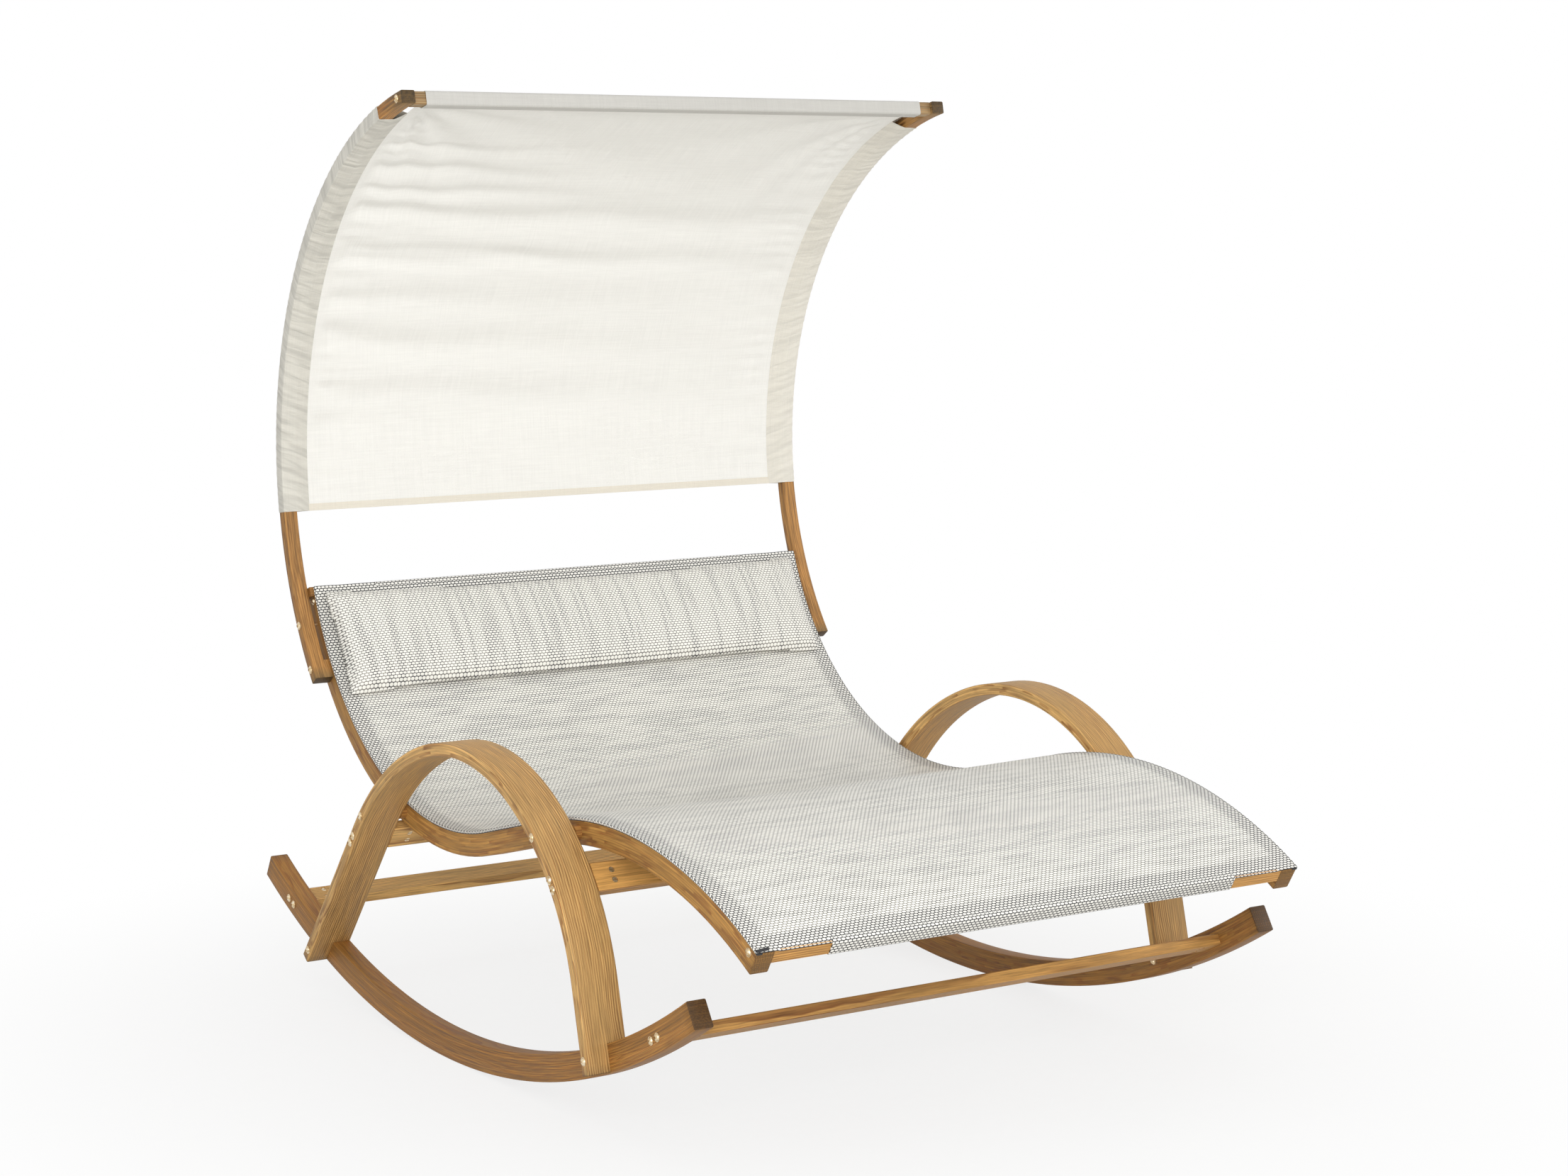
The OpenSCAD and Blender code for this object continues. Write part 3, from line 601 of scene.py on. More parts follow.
def mesh_material(name, upright):
    """Polyester mesh woven from PVC-coated yarn, cream on a darker weft.

    What that gives the eye: rows of plump cream floats laid like bricks, with a small gap at each crossing. The
    gaps are pale over open air and nearly black over the black edging; over the rest of the rails' timber, over the
    end bars and inside the end sleeves that near black is painted shade, which also greys the yarn a little and lets
    the gaps open wider. In places a dark weft shows in them in lines that run across the seat, or up and down the
    pillow. The yarn has a slight plastic shine.
    """
    p = bpy.context.scene.lounger_cloth
    m = new_material(name)
    uv = node(m, "UVMap", uv_map="weave").outputs[0]
    across, up = node(m, "SeparateXYZ", {"Vector": uv}).outputs[:2]
    # Floats drawn twice as coarse as the real ones, which are 4.8 mm by 3.1 mm and would not show
    row_at = maths(m, "DIVIDE", up, p.float_row)
    row = maths(m, "FLOOR", row_at)
    float_at = maths(m, "DIVIDE", across, p.float_len)

    def swell(at, sharp, power):
        """Nothing in the middle of each cell, and about one at its edges."""
        off = maths(m, "SUBTRACT", maths(m, "FRACT", at), 0.5)
        return maths(m, "POWER", maths(m, "ABSOLUTE", times(m, off, sharp)), power)

    # Height of a float: an oval that fills most of its cell, half a cell further on in each row
    oval = maths(m, "ADD", swell(maths(m, "MULTIPLY_ADD", row, 0.5, float_at), 2.1, 3.0), swell(row_at, 2.15, 2.2))
    high = maths(m, "SQRT", maths(m, "MAXIMUM", maths(m, "SUBTRACT", 1.0, oval), 0.0))
    # Dark weft: single rows 0.1 m long, on the pillow columns 0.25 m long, in bands 0.3 to 0.4 m long and 35 mm wide
    if upright:
        lane, bands_at, share, low = maths(m, "FLOOR", float_at), (26.0, 3.5, 1.0), 0.2, 0.56
        run = times(m, up, 4.0)
    else:
        lane, bands_at, share, low = row, (2.4, 30.0, 1.0), 0.45, 0.67
        run = times(m, across, 9.0)
    lines = noise(m, combined(m, run, times(m, lane, 7.31)), 1.5)
    bands = noise(m, stretched(m, uv, *bands_at), 2.0)
    weft = ranged(m, maths(m, "MULTIPLY_ADD", bands, share, lines), low, low + 0.16, 0.0, 1.0)
    # Where something lies right behind the mesh: the black edging, and the timber of the rails and bars, whose shade
    # is painted into the gaps as near black; with the dark weft it darkens the gaps
    edging_and_shade_behind = node(m, "Attribute", attribute_name="edging_and_shade_behind").outputs["Fac"]
    dark = maths(m, "MINIMUM", maths(m, "MULTIPLY_ADD", weft, 0.85, times(m, edging_and_shade_behind, 0.9)), 1.0)
    gap = mixed(m, dark, rgb(p.gap), rgb(p.dark_gap_and_shade))
    # The yarn itself greys a little where the weft shows, and as painted shade where edging or timber lies behind it
    yarn = toned(m, rgb(p.yarn)[:3], ranged(m, dark, 0.0, 1.0, 1.0, 0.90))
    # Painted shade: the gaps open wider where something lies behind, so more of their near black shows
    least = maths(m, "MULTIPLY_ADD", edging_and_shade_behind, 0.13, 0.19)
    most = maths(m, "ADD", least, 0.42)
    cover = ranged(m, high, least, most, 0.0, 1.0, interpolation_type="SMOOTHSTEP")
    shine = {"Roughness": 0.5, "IOR": 1.5, "Specular IOR Level": 0.3}
    surface(m, principled(m, mixed(m, cover, gap, yarn), high, 0.5, 0.0012, shine)[0])


def canopy_material(name, cloth, tucks, through):
    """Polyester sailcloth, plain woven and sewn.

    What that gives the eye: matt off-white that lets some light through, a thread grid just fine enough to
    feel, soft creases where it is drawn tight, and a closer ruching where it wraps the posts, with painted shade in
    the ruching's troughs and a faint painted highlight on its crests.
    """
    m = new_material(name)
    uv = node(m, "UVMap", uv_map="weave").outputs[0]
    # Threads drawn 2 mm apart; real ones are about 0.5 mm and would not show
    threads = [
        node(m, "TexWave", {"Vector": uv, "Scale": 78.0, "Distortion": 0.0}, bands_direction=axis).outputs["Fac"]
        for axis in "XY"
    ]
    # Thick places in the thread, 0.1 m long and 4 mm wide, both ways
    slubs = maths(m, "ADD", *(noise(m, stretched(m, uv, a, b, 1.0), 2.0) for a, b in ((9.0, 260.0), (260.0, 9.0))))
    tone = ranged(m, slubs, 0.7, 1.3, 0.95, 1.02)
    height = maths(m, "MULTIPLY_ADD", times(m, *threads), 0.25, slubs)
    if tucks:
        # Tucks 0.1 m long and 14 mm apart, slanting round the post
        slant = node(m, "VectorRotate", {"Vector": uv, "Angle": 0.35}, rotation_type="Z_AXIS").outputs[0]
        tuck = noise(m, stretched(m, slant, 7.0, 70.0, 1.0), 2.0, warp=0.8)
        height = maths(m, "MULTIPLY_ADD", tuck, 7.0 * tucks, height)
        # Painted shade in the tucks' troughs, up to a fifth darker, and a faint painted highlight on their crests
        tone = times(m, tone, ranged(m, tuck, 0.3, 0.6, 1 - 0.20 * tucks, 1.03))
    matt = {"Roughness": 0.85, "IOR": 1.45, "Specular IOR Level": 0.2, "Sheen Weight": 0.15, "Sheen Roughness": 0.5}
    shader, bump = principled(m, toned(m, rgb(cloth)[:3], tone), height, 0.5, 0.001, matt)
    glow = node(m, "BsdfTranslucent", {"Color": rgb(cloth), "Normal": bump}).outputs[0]
    surface(m, node(m, "MixShader", {0: through, 1: shader, 2: glow}).outputs[0])


def zinc_material():
    """Steel bolts, cold formed and yellow zinc plated.

    What that gives the eye: a pale brassy metal with faint cloudy patches, dulled a little, and bright rims.
    """
    m = new_material("Steel, yellow zinc")
    at = node(m, "TexCoord").outputs["Object"]
    cloud = noise(m, at, 3.0, scale=160.0)
    colour = ramp(m, cloud, (0.3, "#b99c70"), (0.5, "#dcc7a2"), (0.7, "#f2e8d4"))
    metal = {"Metallic": 1.0, "Roughness": ranged(m, cloud, 0.0, 1.0, 0.28, 0.48)}
    surface(m, principled(m, colour, noise(m, at, 2.0, scale=1600.0), 0.08, 0.0002, metal)[0])


def edging_material():
    """Polypropylene edging, extruded. Matt black with faint lines along its length."""
    m = new_material("Polypropylene, extruded")
    at = node(m, "Attribute", attribute_name="grain").outputs["Vector"]
    lines = noise(m, stretched(m, at, 6.0, 900.0, 900.0), 2.0)
    colour = ramp(m, lines, (0.3, "#151517"), (0.7, "#28282a"))
    surface(m, principled(m, colour, lines, 0.15, 0.0003, {"Roughness": 0.5, "IOR": 1.49})[0])


class LOUNGER_OT_materials(bpy.types.Operator):
    """Makes every finish of the lounger"""

    bl_idname = "lounger.materials"
    bl_label = "Finishes"

    def execute(self, context):
        timber = context.scene.lounger_timber
        cloth = context.scene.lounger_cloth
        timber_material("Laminated larch, oiled", True, timber.early)
        timber_material("Laminated larch, brown", True, timber.brown, end_tone=0.75)
        timber_material("Laminated larch, weathered", True, timber.weathered, end_tone=0.36)
        worn = {"end_tone": 0.42, "fade": POST_FADE, "faded": 0.84, "rained": 0.8}
        timber_material("Laminated larch, post", True, timber.post, dark_fibre=0.40, fibres=170.0, **worn)
        for name, heading in BARS.items():
            timber_material("Larch, planed " + name, False, self.board(timber, name), -heading * DEG)
        timber_material("Larch block", False, timber.weathered)
        mesh_material("Coated mesh, woven", False)
        mesh_material("Coated mesh, upright", True)
        canopy_material("Sailcloth, woven", cloth.canopy, 0, 0.28)
        canopy_material("Sailcloth, doubled", cloth.wrap, 0, 0.08)
        canopy_material("Sailcloth, hemmed", cloth.hem, 0, 0.16)
        # The post sleeves' finishes: tucks with painted shade in their troughs; the right one's paler colour is
        # painted light, and its tucks are half as deep, with half the painted crease shade
        canopy_material("Sailcloth, ruched", cloth.sleeve, 1.0, 0.08)
        canopy_material("Sailcloth, ruched less", cloth.lit_sleeve, 0.5, 0.12)
        zinc_material()
        edging_material()
        return {"FINISHED"}

    def board(self, timber, name):
        """The rear crossbars are painted paler, as painted light to make up for the shade of the arches and the mesh
        over them, and the canopy's bar has aged.
        """
        if name == "canopy_bar":
            return timber.aged
        return timber.pale if "rear" in name else timber.honey


class LOUNGER_OT_runners(bpy.types.Operator):
    """Bends the two runners"""

    bl_idname = "lounger.runners"
    bl_label = "Runners"

    def execute(self, context):
        path = RUNNER_START, RUNNER_CHAIN
        for side, name in both("runner"):
            obj = bent(name + "_timber", *path, side, (FRAME_X, RUNNER_OUT), (0, RUNNER_DEEP))
            finish_timber(obj, *path, 1.3 + side * 0.4, "Laminated larch, weathered", name)
        return {"FINISHED"}


class LOUNGER_OT_arches(bpy.types.Operator):
    """Bends the two arches and cuts their laps over the runners"""

    bl_idname = "lounger.arches"
    bl_label = "Arches"

    def execute(self, context):
        path = ARCH_START, ARCH_CHAIN
        # The cutter is a runner with room to spare above, below and inside
        lap, lap_deep = (FRAME_X - 0.01, RUNNER_OUT), (-0.06, RUNNER_DEEP + 0.0003)
        for side, name in both("arch"):
            obj = bent(name + "_timber", *path, side, (FRAME_X, ARCH_OUT), (-ARCH_THICK, 0), step=0.02)
            cutter = bent("lap_cutter", RUNNER_START, RUNNER_CHAIN, side, lap, lap_deep, 0)
            apply_modifier(obj, "BOOLEAN", operation="DIFFERENCE", solver="EXACT", object=cutter)
            bpy.data.objects.remove(cutter, do_unlink=True)
            finish_timber(obj, *path, 5.1 + side * 0.9, "Laminated larch, oiled", name)
        return {"FINISHED"}


class LOUNGER_OT_rails(bpy.types.Operator):
    """Bends the two seat rails and lays the black edging along their tops"""

    bl_idname = "lounger.rails"
    bl_label = "Seat rails"

    def execute(self, context):
        path = RAIL_START, RAIL_CHAIN
        # The edging stands proud of the rail by this much outside and at the foot
        proud = 0.0006
        edge_start = moved(RAIL_START, -proud)
        edge_chain = [(RAIL_CHAIN[0][0] + proud, RAIL_CHAIN[0][1])] + RAIL_CHAIN[1:]
        edge = (RAIL_OUT - EDGE_WIDE, RAIL_OUT + proud)
        for side, name in both("seat_rail"):
            obj = bent(name + "_timber", *path, side, (RAIL_IN, RAIL_OUT), (-RAIL_DEEP, -0.0002))
            finish_timber(obj, *path, 9.2 + side * 0.7, "Laminated larch, brown", name)
            edging = name.replace("seat_rail", "edging")
            deep = (-EDGE_DEEP - 0.0008, 0.0004)
            strip = bent(edging + "_strip", edge_start, edge_chain, side, edge, deep, 0.0006, 0.02)
            remember_grain(strip, *path, side)
            dress(strip, "Polypropylene, extruded", "edging", edging)
        self.flap()
        return {"FINISHED"}

    def flap(self):
        """Loose end of the near edging, turned in over the corner of the mesh."""
        wide, thick, lift = 0.026, 0.0018, 0.0022
        chain = [(0.006, RAIL_CHAIN[0][1])]
        across, deep = (RAIL_OUT - wide, RAIL_OUT), (MESH_TOP, MESH_TOP + thick)
        obj = bent("edging_end", moved(RAIL_START, 0.001), chain, -1, across, deep, 0.0005, 0.002)
        for vert in obj.data.vertices:
            # It curls up towards its loose corner
            vert.co.z += max(0.0, (vert.co.x + RAIL_OUT) / wide) ** 2 * lift
        remember_grain(obj, RAIL_START, RAIL_CHAIN, 2)
        dress(obj, "Polypropylene, extruded", "edging")


class LOUNGER_OT_posts(bpy.types.Operator):
    """Bends the two canopy posts with the pad at each foot"""

    bl_idname = "lounger.posts"
    bl_label = "Canopy posts"

    def execute(self, context):
        path, finish = (POST_START, POST_CHAIN), "Laminated larch, post"
        deep = (-POST_DEEP / 2, POST_DEEP / 2)
        for side, name in both("canopy_post"):
            obj = bent(name + "_timber", *path, side, (POST_IN, POST_OUT), deep)
            foot = [(PAD_LEN, POST_R)]
            pad = bent(name + "_pad", POST_START, foot, side, (RAIL_OUT, POST_IN + 0.004), deep, 0.001)
            finish_timber(pad, *path, 15.2 + side * 0.7, finish, fade=POST_FADE)
            finish_timber(obj, *path, 13.2 + side * 0.7, finish, name, fade=POST_FADE)
        return {"FINISHED"}


class LOUNGER_OT_hardware(bpy.types.Operator):
    """Gives the bars, blocks, bolts, washers and nuts of the frame their finishes"""

    bl_idname = "lounger.hardware"
    bl_label = "Bars and hardware"

    def execute(self, context):
        nodes = frame["nodes"]
        for name in BARS:
            self.finish(nodes[name], "Larch, planed " + name)
        for name in ("left_post_spacer", "right_post_spacer", "arch_spacers"):
            self.finish(nodes[name], "Larch block")
        for name, obj in nodes.items():
            if name.endswith(("_bolts", "_washers", "_nuts")):
                self.finish(obj, "Steel, yellow zinc")
        return {"FINISHED"}

    def finish(self, obj, material):
        for slot in obj.material_slots:
            slot.material = bpy.data.materials[material]


def make_grid(name, cols, rows, place, weave, from_edge=False, closed=False, edging_and_shade_behind=None):
    """A sheet of cols by rows cells, with each vertex put in place by place(u, v).

    weave is the cloth's size: half its width, or its whole width where the weave is counted from one edge, and
    its length. The last argument says, for each place on the sheet, how much lies right behind it: the black edging,
    and timber whose shade the mesh's gaps show as painted shade.
    """
    only()
    bpy.ops.mesh.primitive_grid_add(x_subdivisions=cols, y_subdivisions=rows, size=2)
    obj = bpy.context.object
    obj.name = name
    me = obj.data
    me.name = name
    co = coords(me)
    u, v = (np.round((co[:, k] + 1) / 2, 6) for k in (0, 1))
    write_weave(me, (u if from_edge else u * 2 - 1) * weave[0], v * weave[1])
    me.vertices.foreach_set("co", np.stack(place(u, v), axis=1).ravel())
    if edging_and_shade_behind:
        write_field(me, "edging_and_shade_behind", np.broadcast_to(edging_and_shade_behind(u, v), u.shape))
    me.update()
    if closed:
        edit_all(obj)
        bpy.ops.mesh.remove_doubles(threshold=1e-5)
        bpy.ops.object.mode_set(mode="OBJECT")
    only(obj)
    bpy.ops.object.shade_smooth()
    return obj


def on_rail(run, off):
    """Arrays of y and z at distances along the rails' path, moved sideways by an offset."""
    places = [beside(along(RAIL_START, RAIL_CHAIN, a), b) for a, b in zip(run, off)]
    return np.array([q[0] for q in places]), np.array([q[1] for q in places])


def steps_round(points):
    """How far along a line each of its points lies."""
    return np.concatenate([[0], np.cumsum(np.hypot(*np.diff(points, axis=0).T))])


def eased(t):
    t = np.clip(t, 0, 1)
    return t * t * (3 - 2 * t)


class LOUNGER_OT_sling(bpy.types.Operator):
    """Stretches the mesh over the rails and folds its sleeves round the end bars"""

    bl_idname = "lounger.sling"
    bl_label = "Mesh seat"

    def execute(self, context):
        sag = context.scene.lounger_cloth.sag

        def place(u, v):
            x = (u * 2 - 1) * (RAIL_OUT + MESH_LIP)
            run = v * (RAIL_LEN - 0.0004) + 0.0002
            to_end = np.minimum(run, RAIL_LEN - run)
            hang = sag * eased((to_end - BAR_WIDE) / 0.25) * np.clip(1 - (x / RAIL_IN) ** 2, 0, 1)
            # The mesh turns down round the end bars, between the rails
            turn = np.clip(1 - to_end / 0.008, 0, 1) ** 2 * np.clip((RAIL_IN - np.abs(x)) / 0.01, 0, 1)
            return x, *on_rail(run, MESH_TOP - hang - 0.0034 * turn)

        # Where the rails and the end bars lie right under the mesh: the black edging there darkens its gaps, and so
        # does painted shade for the timber
        def over_timber(u, v):
            run = v * RAIL_LEN
            to_rail = np.abs(u * 2 - 1) * RAIL_OUT - RAIL_IN
            to_bar = BAR_WIDE - np.minimum(run, RAIL_LEN - run)
            return np.clip(np.maximum(to_rail, to_bar) / 0.012 + 0.5, 0, 1)

        sheet = make_grid("mesh_seat", 120, 170, place, (RAIL_OUT, RAIL_LEN), edging_and_shade_behind=over_timber)
        finish_cloth(sheet, "Coated mesh, woven", 0.0016, "seat_mesh", "sling")
        sleeves = [self.selvedge(side, name) for side, name in both("selvedge")]
        sleeves.append(self.end_sleeve("foot_sleeve", FOOT_BAR, FOOT_SLEEVE_X))
        sleeves.append(self.end_sleeve("head_sleeve", HEAD_BAR, HEAD_SLEEVE_X))
        return {"FINISHED"}

    def selvedge(self, side, name):
        """Overlocked edge of the mesh, whose stitches fold down over the top of the rail's side."""
        drop, out, bulge = 0.0042, 0.0012, 0.0010

        def place(u, v):
            y, z = on_rail(v * (RAIL_LEN - 0.004) + 0.002, MESH_TOP + 0.0004 - u * drop)
            return side * (RAIL_OUT + out) - side * bulge * np.abs(u * 2 - 1) ** 3, y, z

        # The black edging lies behind the whole selvedge; the greying of its yarn there is painted shade
        strip = make_grid(name, 4, 420, place, (drop, RAIL_LEN), True, edging_and_shade_behind=lambda u, v: 1.0)
        if side > 0:
            flip(strip)
        return finish_cloth(strip, "Coated mesh, woven", 0.0008, "seat_mesh")

    def end_sleeve(self, name, bar, half):
        """Sleeve round an end bar, from the middle of its upper side and back to it."""
        room, corner, bends = 0.0038, 0.006, 6
        top = (BAR_THICK + room) / 2
        cu, cn = (BAR_WIDE + room) / 2 - corner, top - corner
        loop = [(0.0, top)]
        for u, n, first in ((cu, cn, 90), (cu, -cn, 0), (-cu, -cn, -90), (-cu, cn, -180)):
            for k in range(bends + 1):
                a = (first - 90 * k / bends) * DEG
                loop.append((u + corner * math.cos(a), n + corner * math.sin(a)))
        loop = np.array(loop + loop[:1])
        steps = steps_round(loop)
        cos, sin = math.cos(bar[2] * DEG), math.sin(bar[2] * DEG)

        def place(u, v):
            c, n = (np.interp(v * steps[-1], steps, loop[:, k]) for k in (0, 1))
            return (u * 2 - 1) * half, bar[0] + c * cos - n * sin, bar[1] + c * sin + n * cos

        # The bar inside shows in the sleeve's gaps as painted shade
        piece = make_grid(name, 60, 48, place, (half, steps[-1]), closed=True, edging_and_shade_behind=lambda u, v: 0.95)
        return finish_cloth(piece, "Coated mesh, woven", 0.0016, "seat_mesh")


class LOUNGER_OT_pillow(bpy.types.Operator):
    """Fills the headrest pillow with a cloth simulation"""

    bl_idname = "lounger.pillow"
    bl_label = "Headrest pillow"

    def execute(self, context):
        source = frame["nodes"]["headrest_pillow"]
        only()
        copy = source.copy()
        copy.data = source.data.copy()
        copy.name = "headrest_cover"
        copy.data.name = "headrest_cover"
        copy.parent = None
        context.scene.collection.objects.link(copy)
        for key in list(copy.keys()):
            del copy[key]
        edit_all(copy)
        bpy.ops.mesh.remove_doubles(threshold=1e-5)
        # Only the outer skin is wanted, not the hollow for the filling
        bpy.ops.object.mode_set(mode="OBJECT")
        verts = copy.data.vertices
        outermost = max(verts, key=lambda vert: vert.co.x)
        for vert in verts:
            vert.select = vert.index == outermost.index
        bpy.ops.object.mode_set(mode="EDIT")
        bpy.ops.mesh.select_linked()
        bpy.ops.mesh.select_all(action="INVERT")
        bpy.ops.mesh.delete(type="VERT")
        bpy.ops.mesh.select_all(action="SELECT")
        bpy.ops.mesh.normals_make_consistent(inside=False)
        bpy.ops.transform.shrink_fatten(value=-0.002)
        bpy.ops.object.mode_set(mode="OBJECT")
        apply_modifier(copy, "REMESH", mode="VOXEL", voxel_size=0.006)
        self.fill(copy, context)
        apply_modifier(copy, "SUBSURF", levels=1, render_levels=1)
        co = coords(copy.data)
        write_weave(copy.data, co[:, 0], chain_coords(co[:, 1:], RAIL_START, RAIL_CHAIN)[0])
        only(copy)
        bpy.ops.object.shade_smooth()
        dress(copy, "Coated mesh, upright", "pillow_cover", "headrest_pillow", body="pillow")
        return {"FINISHED"}

    def fill(self, obj, context):
        """Presses the cover out from inside, and holds back what moves too far."""
        most, creep, off_mesh = 0.010, 0.06, 0.0030
        before = coords(obj.data)
        mod = obj.modifiers.new("Cloth", "CLOTH")
        cloth = mod.settings
        cloth.use_pressure = True
        cloth.uniform_pressure_force = 4.0
        cloth.effector_weights.gravity = 0
        cloth.tension_stiffness = cloth.compression_stiffness = 25
        cloth.bending_stiffness = 1.5
        for f in range(1, 21):
            context.scene.frame_set(f)
        step = coords(obj.evaluated_get(context.evaluated_depsgraph_get()).data) - before
        obj.modifiers.remove(mod)
        context.scene.frame_set(1)
        # The cover swells away from the backrest, and hardly creeps along it
        out = self.outward(chain_coords(before[:, 1:], RAIL_START, RAIL_CHAIN)[0])
        step = creep * step + (1 - creep) * np.sum(step * out, axis=1, keepdims=True) * out
        step *= np.minimum(1, most / np.maximum(np.linalg.norm(step, axis=1, keepdims=True), 1e-9))
        place = before + step
        # The back stays just off the mesh it lies on
        s, n = chain_coords(place[:, 1:], RAIL_START, RAIL_CHAIN)
        place += np.maximum(0, off_mesh - n)[:, None] * self.outward(s)
        obj.data.vertices.foreach_set("co", place.ravel())
        obj.data.update()

    def outward(self, runs):
        """Unit vectors that stand up from the rails' path."""
        h = np.array([along(RAIL_START, RAIL_CHAIN, run)[2] * DEG for run in runs])
        return np.stack([np.zeros(len(h)), -np.sin(h), np.cos(h)], axis=1)


def post_ring(angle, radius):
    """Arrays of y and z on a circle round the posts' centre."""
    return POST_CENTRE[0] + radius * np.sin(angle), POST_CENTRE[1] - radius * np.cos(angle)


def smooth_noise(u, v, seed):
    """Soft, repeatable unevenness between -1 and 1 from a few sine waves."""
    rng = np.random.default_rng(seed)
    out = np.zeros_like(u)
    for _ in range(7):
        fu, fv = rng.uniform(0.4, 2.2), rng.uniform(2, 9)
        out += math.pow(0.85, fv) * np.sin(2 * math.pi * (fu * u + fv * v + rng.uniform()))
    return out / 2


def panel_relief(u, v):
    """How far the folds of the canopy's panel stand off its curve."""
    h = 0.9 * smooth_noise(u, v, 5)
    for start, end, wide, deep, reach in FOLDS:
        lean = start + (end - start) * np.sqrt(u) + 0.006 * np.sin(u * 14 + start * 40)
        d = (v - lean) / (wide * (0.55 + 0.9 * np.sqrt(u)))
        h = h + deep * np.exp(-d * d) * (1 - 0.8 * d) * np.exp(-((u / reach) ** 2))
    # Fans of creases from the two upper corners
    for corner, sign, deep in ((0.0, 1, 3.2), (1.0, -1, 2.0)):
        du, dv = (u - corner) * 2 * PANEL_X, (1 - v) * PANEL_LEN
        away = np.hypot(du, dv)
        a = np.arctan2(dv, sign * du)
        h = h + deep * np.sin(a * 17 + 1.2 * np.sin(a * 5)) * np.exp(-away / 0.40) * np.clip(away / 0.10, 0, 1)
    # Short gathers along both side seams
    to_seam = PANEL_X - np.abs((u * 2 - 1) * PANEL_X)
    gather = np.sin(2 * math.pi * (v * PANEL_LEN / 0.043 + 0.5 * np.sin(v * 23)))
    h = h + 1.1 * gather * np.exp(-to_seam / 0.07)
    ends = np.clip(np.minimum(v, 1 - v) * PANEL_LEN / 0.06, 0, 1)
    return eased(to_seam / 0.05) * ends * h * 0.0022


def sleeve_loop(seam, x0, x1, half, corner):
    """Section of a sleeve that closes on itself at a seam, and how far round each of its points lies."""
    arc = [(corner * math.sin(a * DEG), corner * math.cos(a * DEG)) for a in (0, 30, 60, 90)]
    loop = [(seam, SEAM_GAP), (x0, half)]
    loop += [(x1 - corner + a, half - corner + b) for a, b in arc]
    loop += [(x1 - corner + b, -half + corner - a) for a, b in arc]
    loop = np.array(loop + [(x0, -half), (seam, -SEAM_GAP)])
    return loop, steps_round(loop)


class LOUNGER_OT_canopy(bpy.types.Operator):
    """Hangs the canopy: a panel with soft folds, a sleeve round each post and one round the bar"""

    bl_idname = "lounger.canopy"
    bl_label = "Canopy"

    def execute(self, context):
        def panel_place(u, v):
            y, z = post_ring(HEM_AT + v * PANEL_LEN / POST_R, POST_R + panel_relief(u, v))
            return (u * 2 - 1) * PANEL_X, y, z

        def hem_place(u, v):
            y, z = post_ring(HEM_AT + v * HEM_DEEP / POST_R, POST_R - 0.0011)
            return (u * 2 - 1) * (PANEL_X + 0.001), y, z

        panel = make_grid("canopy_sheet", 170, 200, panel_place, (PANEL_X, PANEL_LEN))
        finish_cloth(panel, "Sailcloth, woven", 0.0009, "canopy_cloth", "canopy_panel", offset=0)
        band = make_grid("canopy_hem", 60, 3, hem_place, (PANEL_X, HEM_DEEP))
        finish_cloth(band, "Sailcloth, hemmed", CLOTH, "canopy_cloth", offset=0)
        for side, name in both("post_sleeve"):
            self.post_sleeve(side, name)
        self.bar_sleeve()
        return {"FINISHED"}

    def post_sleeve(self, side, name):
        """Tube round a post that closes on itself at the panel's seam."""
        half = POST_DEEP / 2 + LOOSE + CLOTH
        x0, x1 = POST_IN - LOOSE - CLOTH, POST_OUT + LOOSE + CLOTH
        loop, steps = sleeve_loop(PANEL_X - 0.001, x0, x1, half, 0.003)
        around, length = steps[-1], SLEEVE_RUN - HEM_RUN

        def place(u, v):
            x, off = (np.interp(u * around, steps, loop[:, k]) for k in (0, 1))
            run = v * length
            # Small tucks where the straight cloth is drawn round the curve
            tuck = 0.0006 * np.sin(2 * math.pi * (run / 0.021 + 0.4 * np.sin(u * 9) + 0.5 * np.sin(v * 31)))
            tuck = tuck * np.clip(np.minimum(u, 1 - u) / 0.1, 0, 1)
            return side * x, *post_ring(HEM_AT + run / POST_R, POST_R + off * (1 + tuck / half))

        obj = make_grid(name + "_cloth", 48, 320, place, (around, length), True)
        if side > 0:
            flip(obj)
        # The right sleeve takes the paler finish, whose colour is painted light
        finish = "Sailcloth, ruched less" if side > 0 else "Sailcloth, ruched"
        finish_cloth(obj, finish, CLOTH, "canopy_cloth", name)

    def bar_sleeve(self):
        """Tube round the bar that closes on itself at the panel's upper seam."""
        half_t = POST_DEEP / 2 + LOOSE + CLOTH
        half_w = TOP_BAR_WIDE / 2 + LOOSE + CLOTH
        loop, steps = sleeve_loop(-(TOP_BAR_WIDE / 2 + 0.022), -half_w, half_w, half_t, 0.004)
        around, half = steps[-1], PANEL_X + 0.007

        def place(u, v):
            run, off = (np.interp(v * around, steps, loop[:, k]) for k in (0, 1))
            y, z = post_ring(POST_LOW * DEG + TOP_BAR_RUN / POST_R + run / POST_R, POST_R + off)
            return (u * 2 - 1) * half, y, z

        obj = make_grid("canopy_bar_cloth", 120, 40, place, (half, around))
        finish_cloth(obj, "Sailcloth, doubled", CLOTH, "canopy_cloth", "canopy_bar_sleeve", offset=0)


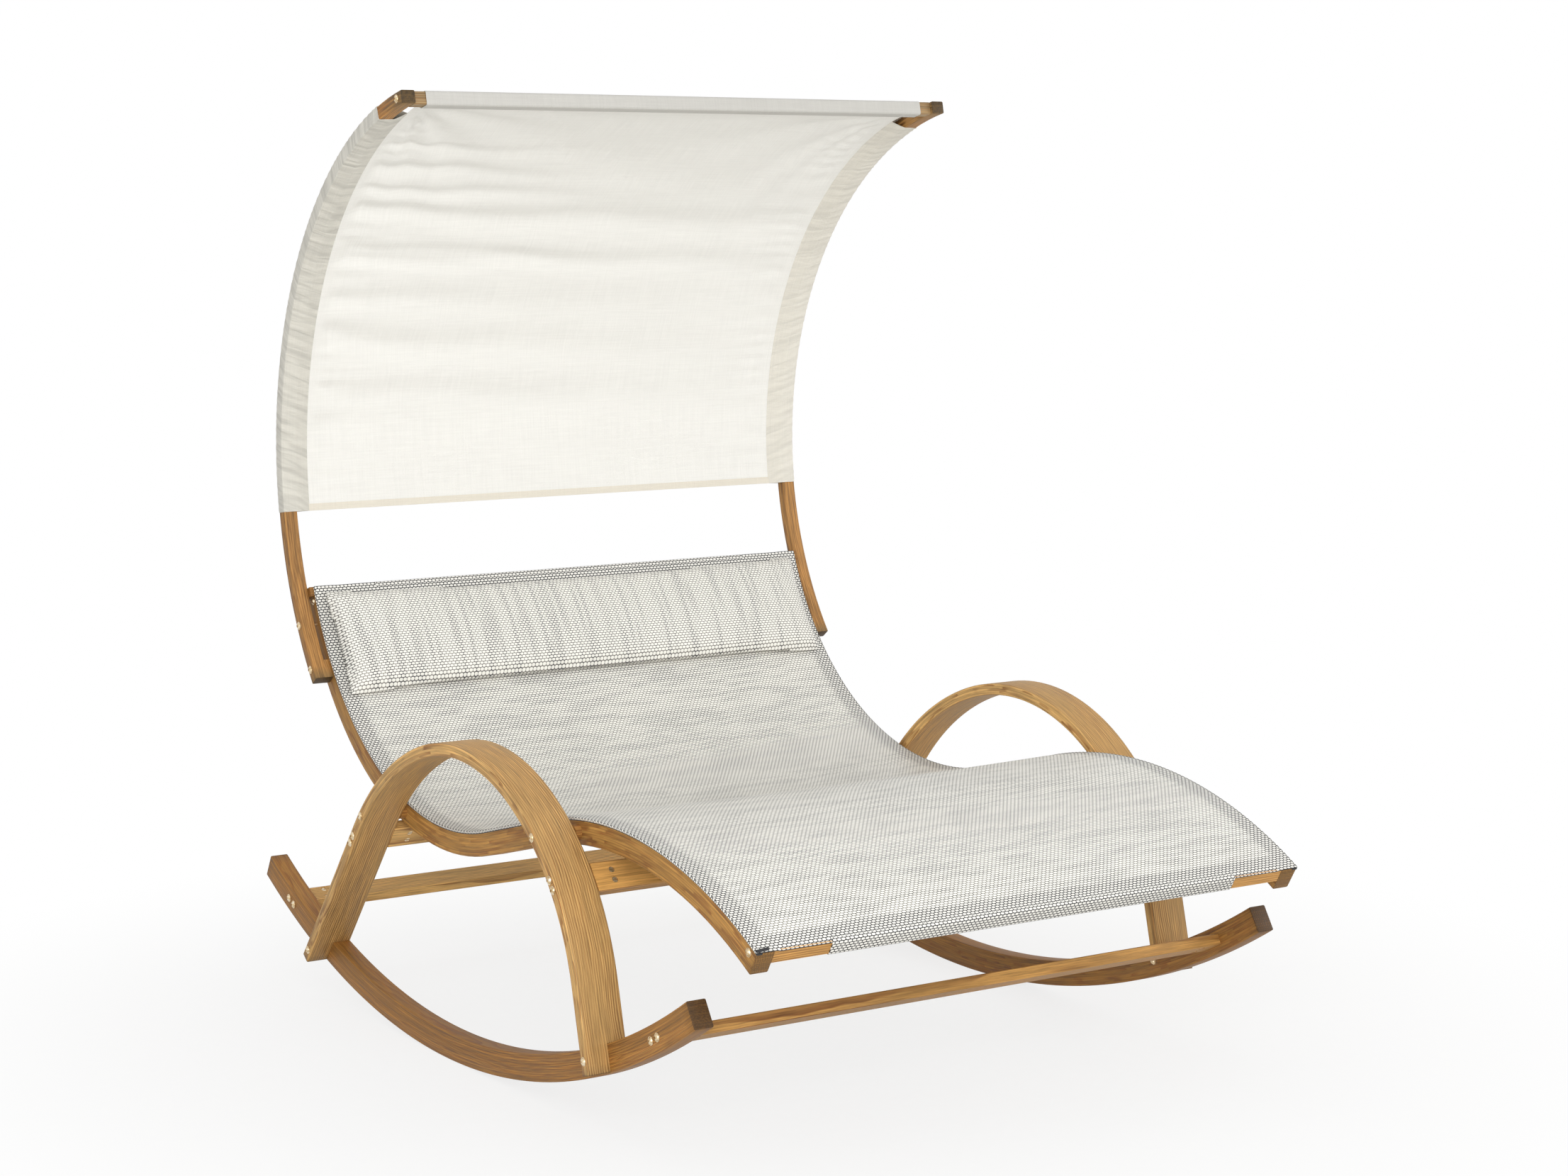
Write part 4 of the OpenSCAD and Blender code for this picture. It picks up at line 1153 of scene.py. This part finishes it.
class LOUNGER_OT_stage(bpy.types.Operator):
    """Sets the floor, the light and the camera"""

    bl_idname = "lounger.stage"
    bl_label = "Stage"

    def execute(self, context):
        p = context.scene.lounger_stage
        scene = context.scene
        scene.view_settings.view_transform = "Standard"
        self.floor(p)
        self.world(scene, p)
        # Where each lamp stands, how wide it is and its share of the key lamp's power
        for name, where, size, share in (
            ("key_lamp", (-2.9, -4.3, 2.1), 3.0, 1.0),
            ("side_lamp", (3.8, -2.4, 2.2), 2.6, 0.35),
            ("top_lamp", (-1.2, 0.6, 5.2), 2.8, 0.06),
        ):
            light = bpy.data.lights.new(name, "AREA")
            light.shape = "DISK"
            light.size = size
            light.energy = p.key_watts * share
            lamp = bpy.data.objects.new(name, light)
            scene.collection.objects.link(lamp)
            lamp.location = where
            x, y, z = np.array((0.0, 0.0, 0.8)) - np.array(where)
            lamp.rotation_euler = (math.atan2(math.hypot(x, y), -z), 0, math.atan2(-x, y))
        camera = bpy.data.cameras.new("camera")
        camera.sensor_width = 36
        camera.lens = CAMERA_LENS
        eye = bpy.data.objects.new("camera", camera)
        scene.collection.objects.link(eye)
        eye.location = CAMERA_AT
        eye.rotation_euler = ((90 - CAMERA_DOWN) * DEG, 0, CAMERA_ROUND * DEG)
        scene.camera = eye
        return {"FINISHED"}

    def floor(self, p):
        """Pale floor that fades to white away from the lounger, and keeps its shadow close by."""
        only()
        bpy.ops.mesh.primitive_grid_add(x_subdivisions=8, y_subdivisions=8, size=40, location=(0, 0, -0.0005))
        floor = bpy.context.object
        floor.name = "floor"
        bpy.ops.object.transform_apply(location=True)
        m = new_material("Floor, matt paint")
        at = node(m, "TexCoord").outputs["Object"]
        colour = ramp(m, noise(m, at, 2.0, scale=30.0), (0.3, "#dad9d6"), (0.7, p.floor))
        matt = node(m, "BsdfPrincipled", {"Base Color": colour, "Roughness": 0.9, "Specular IOR Level": 0.1})
        far = node(m, "VectorMath", {0: at}, operation="LENGTH").outputs["Value"]
        glow = ranged(m, far, 0.8, 2.2, 0.80, 1.0, interpolation_type="SMOOTHSTEP")
        white = node(m, "Emission", {"Color": (1, 1, 1, 1), "Strength": 1.0})
        share = times(m, seen_white(m), glow)
        surface(m, node(m, "MixShader", {0: share, 1: matt.outputs[0], 2: white.outputs[0]}).outputs[0])
        floor.data.materials.append(m)

    def world(self, scene, p):
        """Even light all round, which the camera, mirrors and glass see as white."""
        world = bpy.data.worlds.new("world")
        scene.world = world
        world.use_nodes = True
        world.node_tree.nodes.clear()
        dim = node(world, "Background", {"Color": (1, 1, 1, 1), "Strength": p.fill})
        white = node(world, "Background", {"Color": (1, 1, 1, 1), "Strength": 1.0})
        sky = node(world, "MixShader", {0: seen_white(world), 1: dim.outputs[0], 2: white.outputs[0]})
        node(world, "OutputWorld", {"Surface": sky.outputs[0]})


class LOUNGER_PT_panel(bpy.types.Panel):
    """Lists the steps that build the lounger"""

    bl_idname = "LOUNGER_PT_panel"
    bl_label = "Lounger"
    bl_space_type = "VIEW_3D"
    bl_region_type = "UI"
    bl_category = "Lounger"

    def draw(self, context):
        for name in GROUPS:
            group = getattr(context.scene, name)
            for prop in group.bl_rna.properties:
                if prop.identifier not in ("rna_type", "name"):
                    self.layout.prop(group, prop.identifier)
        for step in STEPS:
            self.layout.operator(step.bl_idname)


STEPS = (
    LOUNGER_OT_stage,
    LOUNGER_OT_materials,
    LOUNGER_OT_runners,
    LOUNGER_OT_arches,
    LOUNGER_OT_rails,
    LOUNGER_OT_posts,
    LOUNGER_OT_hardware,
    LOUNGER_OT_sling,
    LOUNGER_OT_pillow,
    LOUNGER_OT_canopy,
)
GROUPS = {"lounger_timber": LOUNGER_PG_timber, "lounger_cloth": LOUNGER_PG_cloth, "lounger_stage": LOUNGER_PG_stage}


def register():
    for name, group in GROUPS.items():
        bpy.utils.register_class(group)
        setattr(bpy.types.Scene, name, bpy.props.PointerProperty(type=group))
    for step in STEPS:
        bpy.utils.register_class(step)
    bpy.utils.register_class(LOUNGER_PT_panel)


def unregister():
    bpy.utils.unregister_class(LOUNGER_PT_panel)
    for step in reversed(STEPS):
        bpy.utils.unregister_class(step)
    for name, group in GROUPS.items():
        delattr(bpy.types.Scene, name)
        bpy.utils.unregister_class(group)


def main():
    register()
    for step in STEPS:
        area, name = step.bl_idname.split(".")
        getattr(getattr(bpy.ops, area), name)()


if __name__ == "__main__":
    main()
